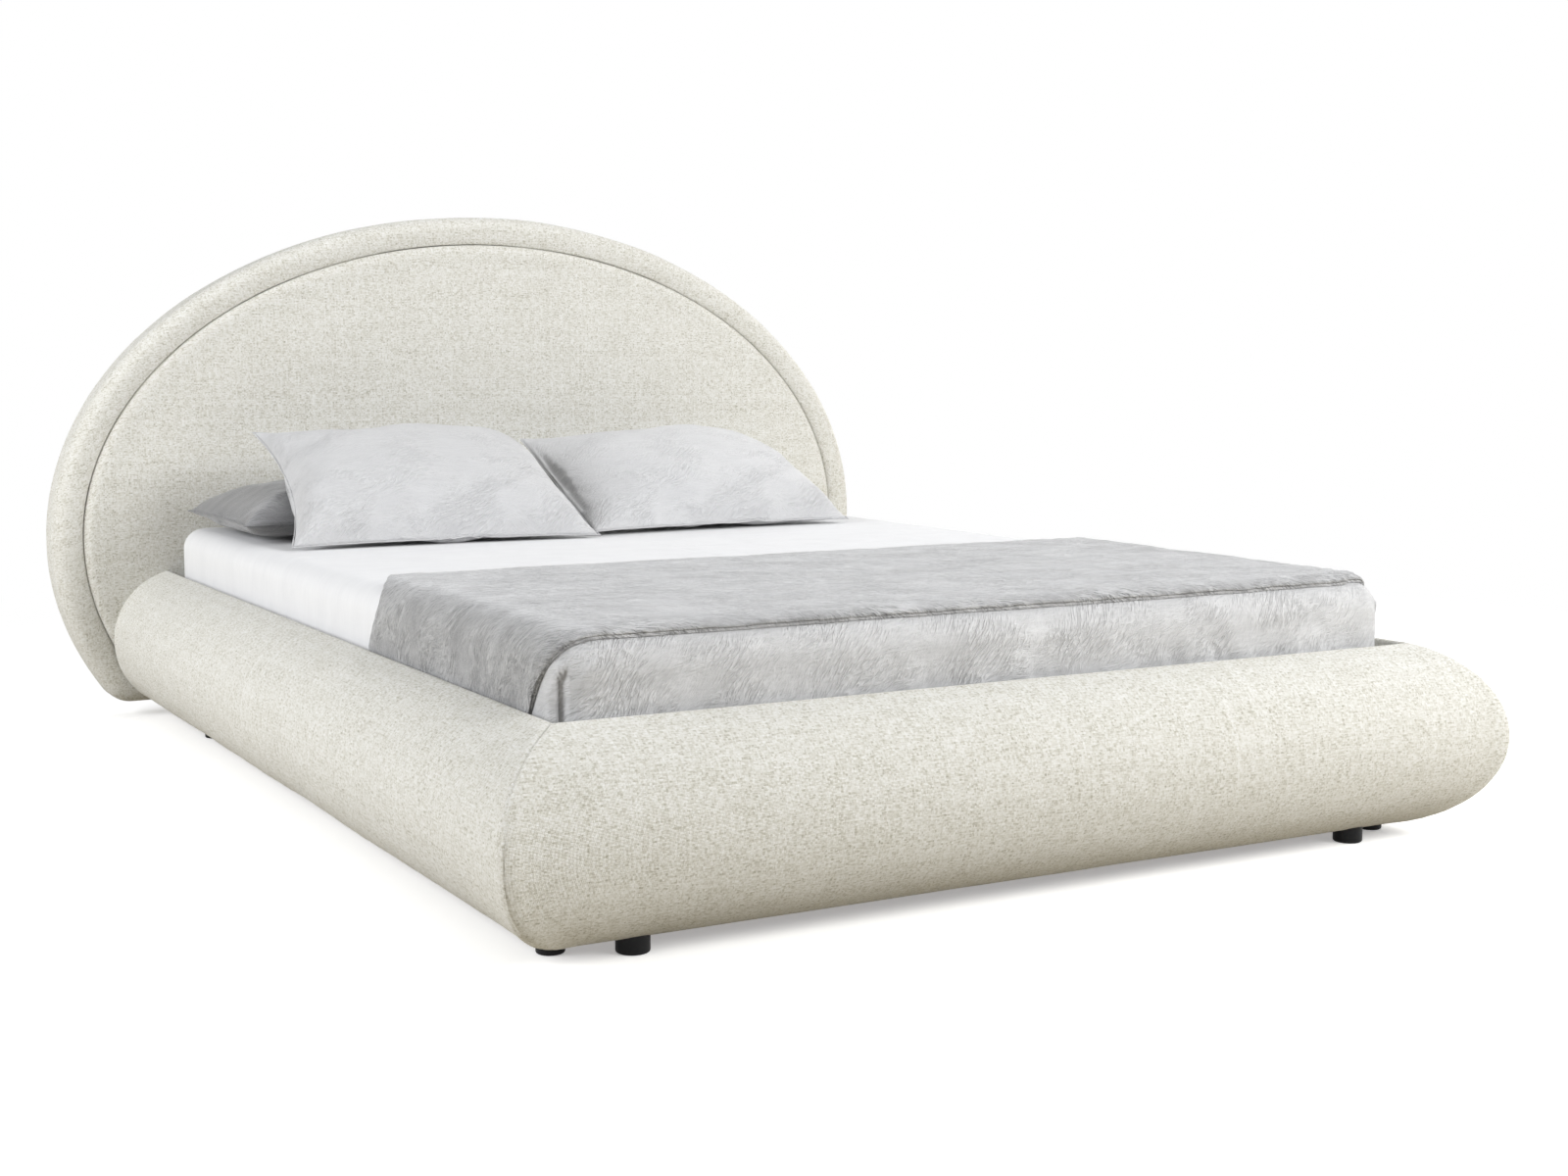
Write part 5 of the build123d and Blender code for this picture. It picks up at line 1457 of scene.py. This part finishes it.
SLIT_EDGES = ((SLIT_TOP + 6 * MM, "upper"), (SLIT_BOTTOM - 6 * MM, "lower"))
STAPLE_FROM_EDGE, WIRE_ABOVE_CLOTH = 40 * MM, 0.6 * MM
path = [(x, HEAD_Y + 88.2 * MM, z) for x, z in headboard_loop(50 * MM)[::3]]
staples("back_lining_staples", path, True, (0.0, 1.0, 0.0), 38 * MM, 21)
for side, side_name in ((-1, "left"), (1, "right")):
    x = side * (HALF_OPENING - WIRE_ABOVE_CLOTH)
    for z, edge in SLIT_EDGES:
        path = [(x, y, z) for y in np.linspace(FOOT_Y + STAPLE_FROM_EDGE, HEAD_Y - 60 * MM, 40)]
        staples(f"side_rail_{side_name}_{edge}_staples", path, False, (-float(side), 0.0, 0.0), 45 * MM, 23)
reach = HALF_OPENING - STAPLE_FROM_EDGE
for z, edge in SLIT_EDGES:
    path = [(x, FOOT_Y + WIRE_ABOVE_CLOTH, z) for x in np.linspace(-reach, reach, 40)]
    staples(f"foot_rail_{edge}_staples", path, False, (0.0, 1.0, 0.0), 45 * MM, 25)


# Camera, floor and light

CAMERA_DOWN, CAMERA_TO_RIGHT = 6.486, 29.274
camera_data = bpy.data.cameras.new("photo_camera")
camera_data.lens = 47.5
camera_data.sensor_width = 36
camera_data.clip_end = 60
camera = bpy.data.objects.new("photo_camera", camera_data)
camera.location = (-1.694, -3.328, 0.754)
camera.rotation_euler = Euler((math.radians(90 - CAMERA_DOWN), 0, math.radians(-CAMERA_TO_RIGHT)))
bpy.context.scene.collection.objects.link(camera)
bpy.context.scene.camera = camera

FLOOR_HALF = 20
floor_mesh = bpy.data.meshes.new("floor")
corners = [(x * FLOOR_HALF, y * FLOOR_HALF, 0) for x, y in ((-1, -1), (1, -1), (1, 1), (-1, 1))]
floor_mesh.from_pydata(corners, [], [(0, 1, 2, 3)])
floor = new_object("floor", floor_mesh)


def seen_directly(tree):
    """1 for rays that should show a plain white surround, 0 for rays that carry light."""
    ray = add_node(tree, "ShaderNodeLightPath").outputs
    seen = {0: ray["Is Camera Ray"], 1: ray["Is Glossy Ray"]}
    seen = add_node(tree, "ShaderNodeMath", seen, operation="MAXIMUM")
    return add_node(tree, "ShaderNodeMath", {0: seen, 1: ray["Is Transmission Ray"]}, operation="MAXIMUM")


# Painted studio floor: white to the eye, a little greyer for the light that it throws back
WHITE = hex_colour("#ffffff")
paint, tree = blank_material("white_studio_floor_paint")
bounce = add_node(tree, "ShaderNodeBsdfDiffuse", {"Color": hex_colour("#b9b1a0")})
lit = add_node(tree, "ShaderNodeBsdfDiffuse", {"Color": WHITE})
glow = add_node(tree, "ShaderNodeEmission", {"Color": WHITE, "Strength": 0.35})
near = add_node(tree, "ShaderNodeAddShader", {0: lit, 1: glow})
far = add_node(tree, "ShaderNodeEmission", {"Color": WHITE, "Strength": 1.0})
# Away from the bed the floor fades into the plain surround, so that no horizon shows
spot = add_node(tree, "ShaderNodeTexCoord").outputs["Object"]
reach = add_node(tree, "ShaderNodeVectorMath", {0: spot}, operation="LENGTH").outputs["Value"]
fade = add_node(tree, "ShaderNodeMapRange", {0: reach, 1: 1.9, 2: 3.4}, interpolation_type="SMOOTHSTEP")
shown_floor = add_node(tree, "ShaderNodeMixShader", {0: fade, 1: near, 2: far})
mixed = add_node(tree, "ShaderNodeMixShader", {0: seen_directly(tree), 1: bounce, 2: shown_floor})
add_node(tree, "ShaderNodeOutputMaterial", {"Surface": mixed})
floor.data.materials.append(paint)

world = bpy.data.worlds.new("studio")
bpy.context.scene.world = world
world.use_nodes = True
tree = world.node_tree
tree.nodes.clear()
light = add_node(tree, "ShaderNodeBackground", {"Color": hex_colour("#fdfcfa"), "Strength": 0.26})
white = add_node(tree, "ShaderNodeBackground", {"Color": WHITE, "Strength": 1.0})
mixed = add_node(tree, "ShaderNodeMixShader", {0: seen_directly(tree), 1: light, 2: white})
add_node(tree, "ShaderNodeOutputWorld", {"Surface": mixed})


def softbox(name, place, aim, size, watts, tint="#ffffff"):
    """Area lamp turned towards a point."""
    data = bpy.data.lights.new(name, "AREA")
    data.shape = "RECTANGLE"
    data.size, data.size_y = size
    data.energy = watts
    data.color = hex_colour(tint)[:3]
    lamp = bpy.data.objects.new(name, data)
    lamp.location = place
    lamp.rotation_euler = (Vector(aim) - Vector(place)).to_track_quat("-Z", "Y").to_euler()
    bpy.context.scene.collection.objects.link(lamp)


# Set so that hardly any of the pale cloth burns out, on the sides that the camera doesn't see too
softbox("window_front_right", (3.2, -4.6, 3.0), (0.2, 0.2, 0.5), (3.0, 2.6), 352, "#fdfeff")
softbox("window_behind_right", (3.4, 2.6, 2.6), (0.1, 0.0, 0.3), (3.0, 2.4), 74)
softbox("fill_left", (-4.1, 0.0, 1.8), (-0.5, 0.0, 0.3), (2.6, 2.2), 146, "#fafcff")
softbox("over_right", (2.2, -0.2, 4.2), (0.2, 0.0, 0.3), (3.0, 3.0), 34)

# Timber, steel and plastic keep their CAD shapes
for material, nodes in (
    (PINE_Y, ("side_board_left", "side_ledge_left", "slat_rail_left")),
    (PINE_Y, ("side_board_right", "side_ledge_right", "slat_rail_right")),
    (PINE_X, ("foot_board", "foot_ledge", "head_rail", "slat_crossbars", "foot_blocks", "headboard_rim")),
    (PINE_Z, ("headboard_posts",)),
    (PLYWOOD, ("headboard_panel",)),
    (BEECH, ("slats",)),
    (ZINC, ("foot_corner_brackets", "head_corner_brackets", "beam_hangers")),
    (ZINC, ("corner_bolts", "headboard_bolts", "headboard_nuts")),
    (POWDER_COAT, ("centre_beam", "centre_legs")),
    (ABS, ("foot_rail_feet", "side_rail_feet", "centre_glide_foot", "centre_glide_head", "slat_holders")),
):
    for node in nodes:
        give(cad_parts[node], material)

bpy.context.scene.view_settings.view_transform = "Standard"
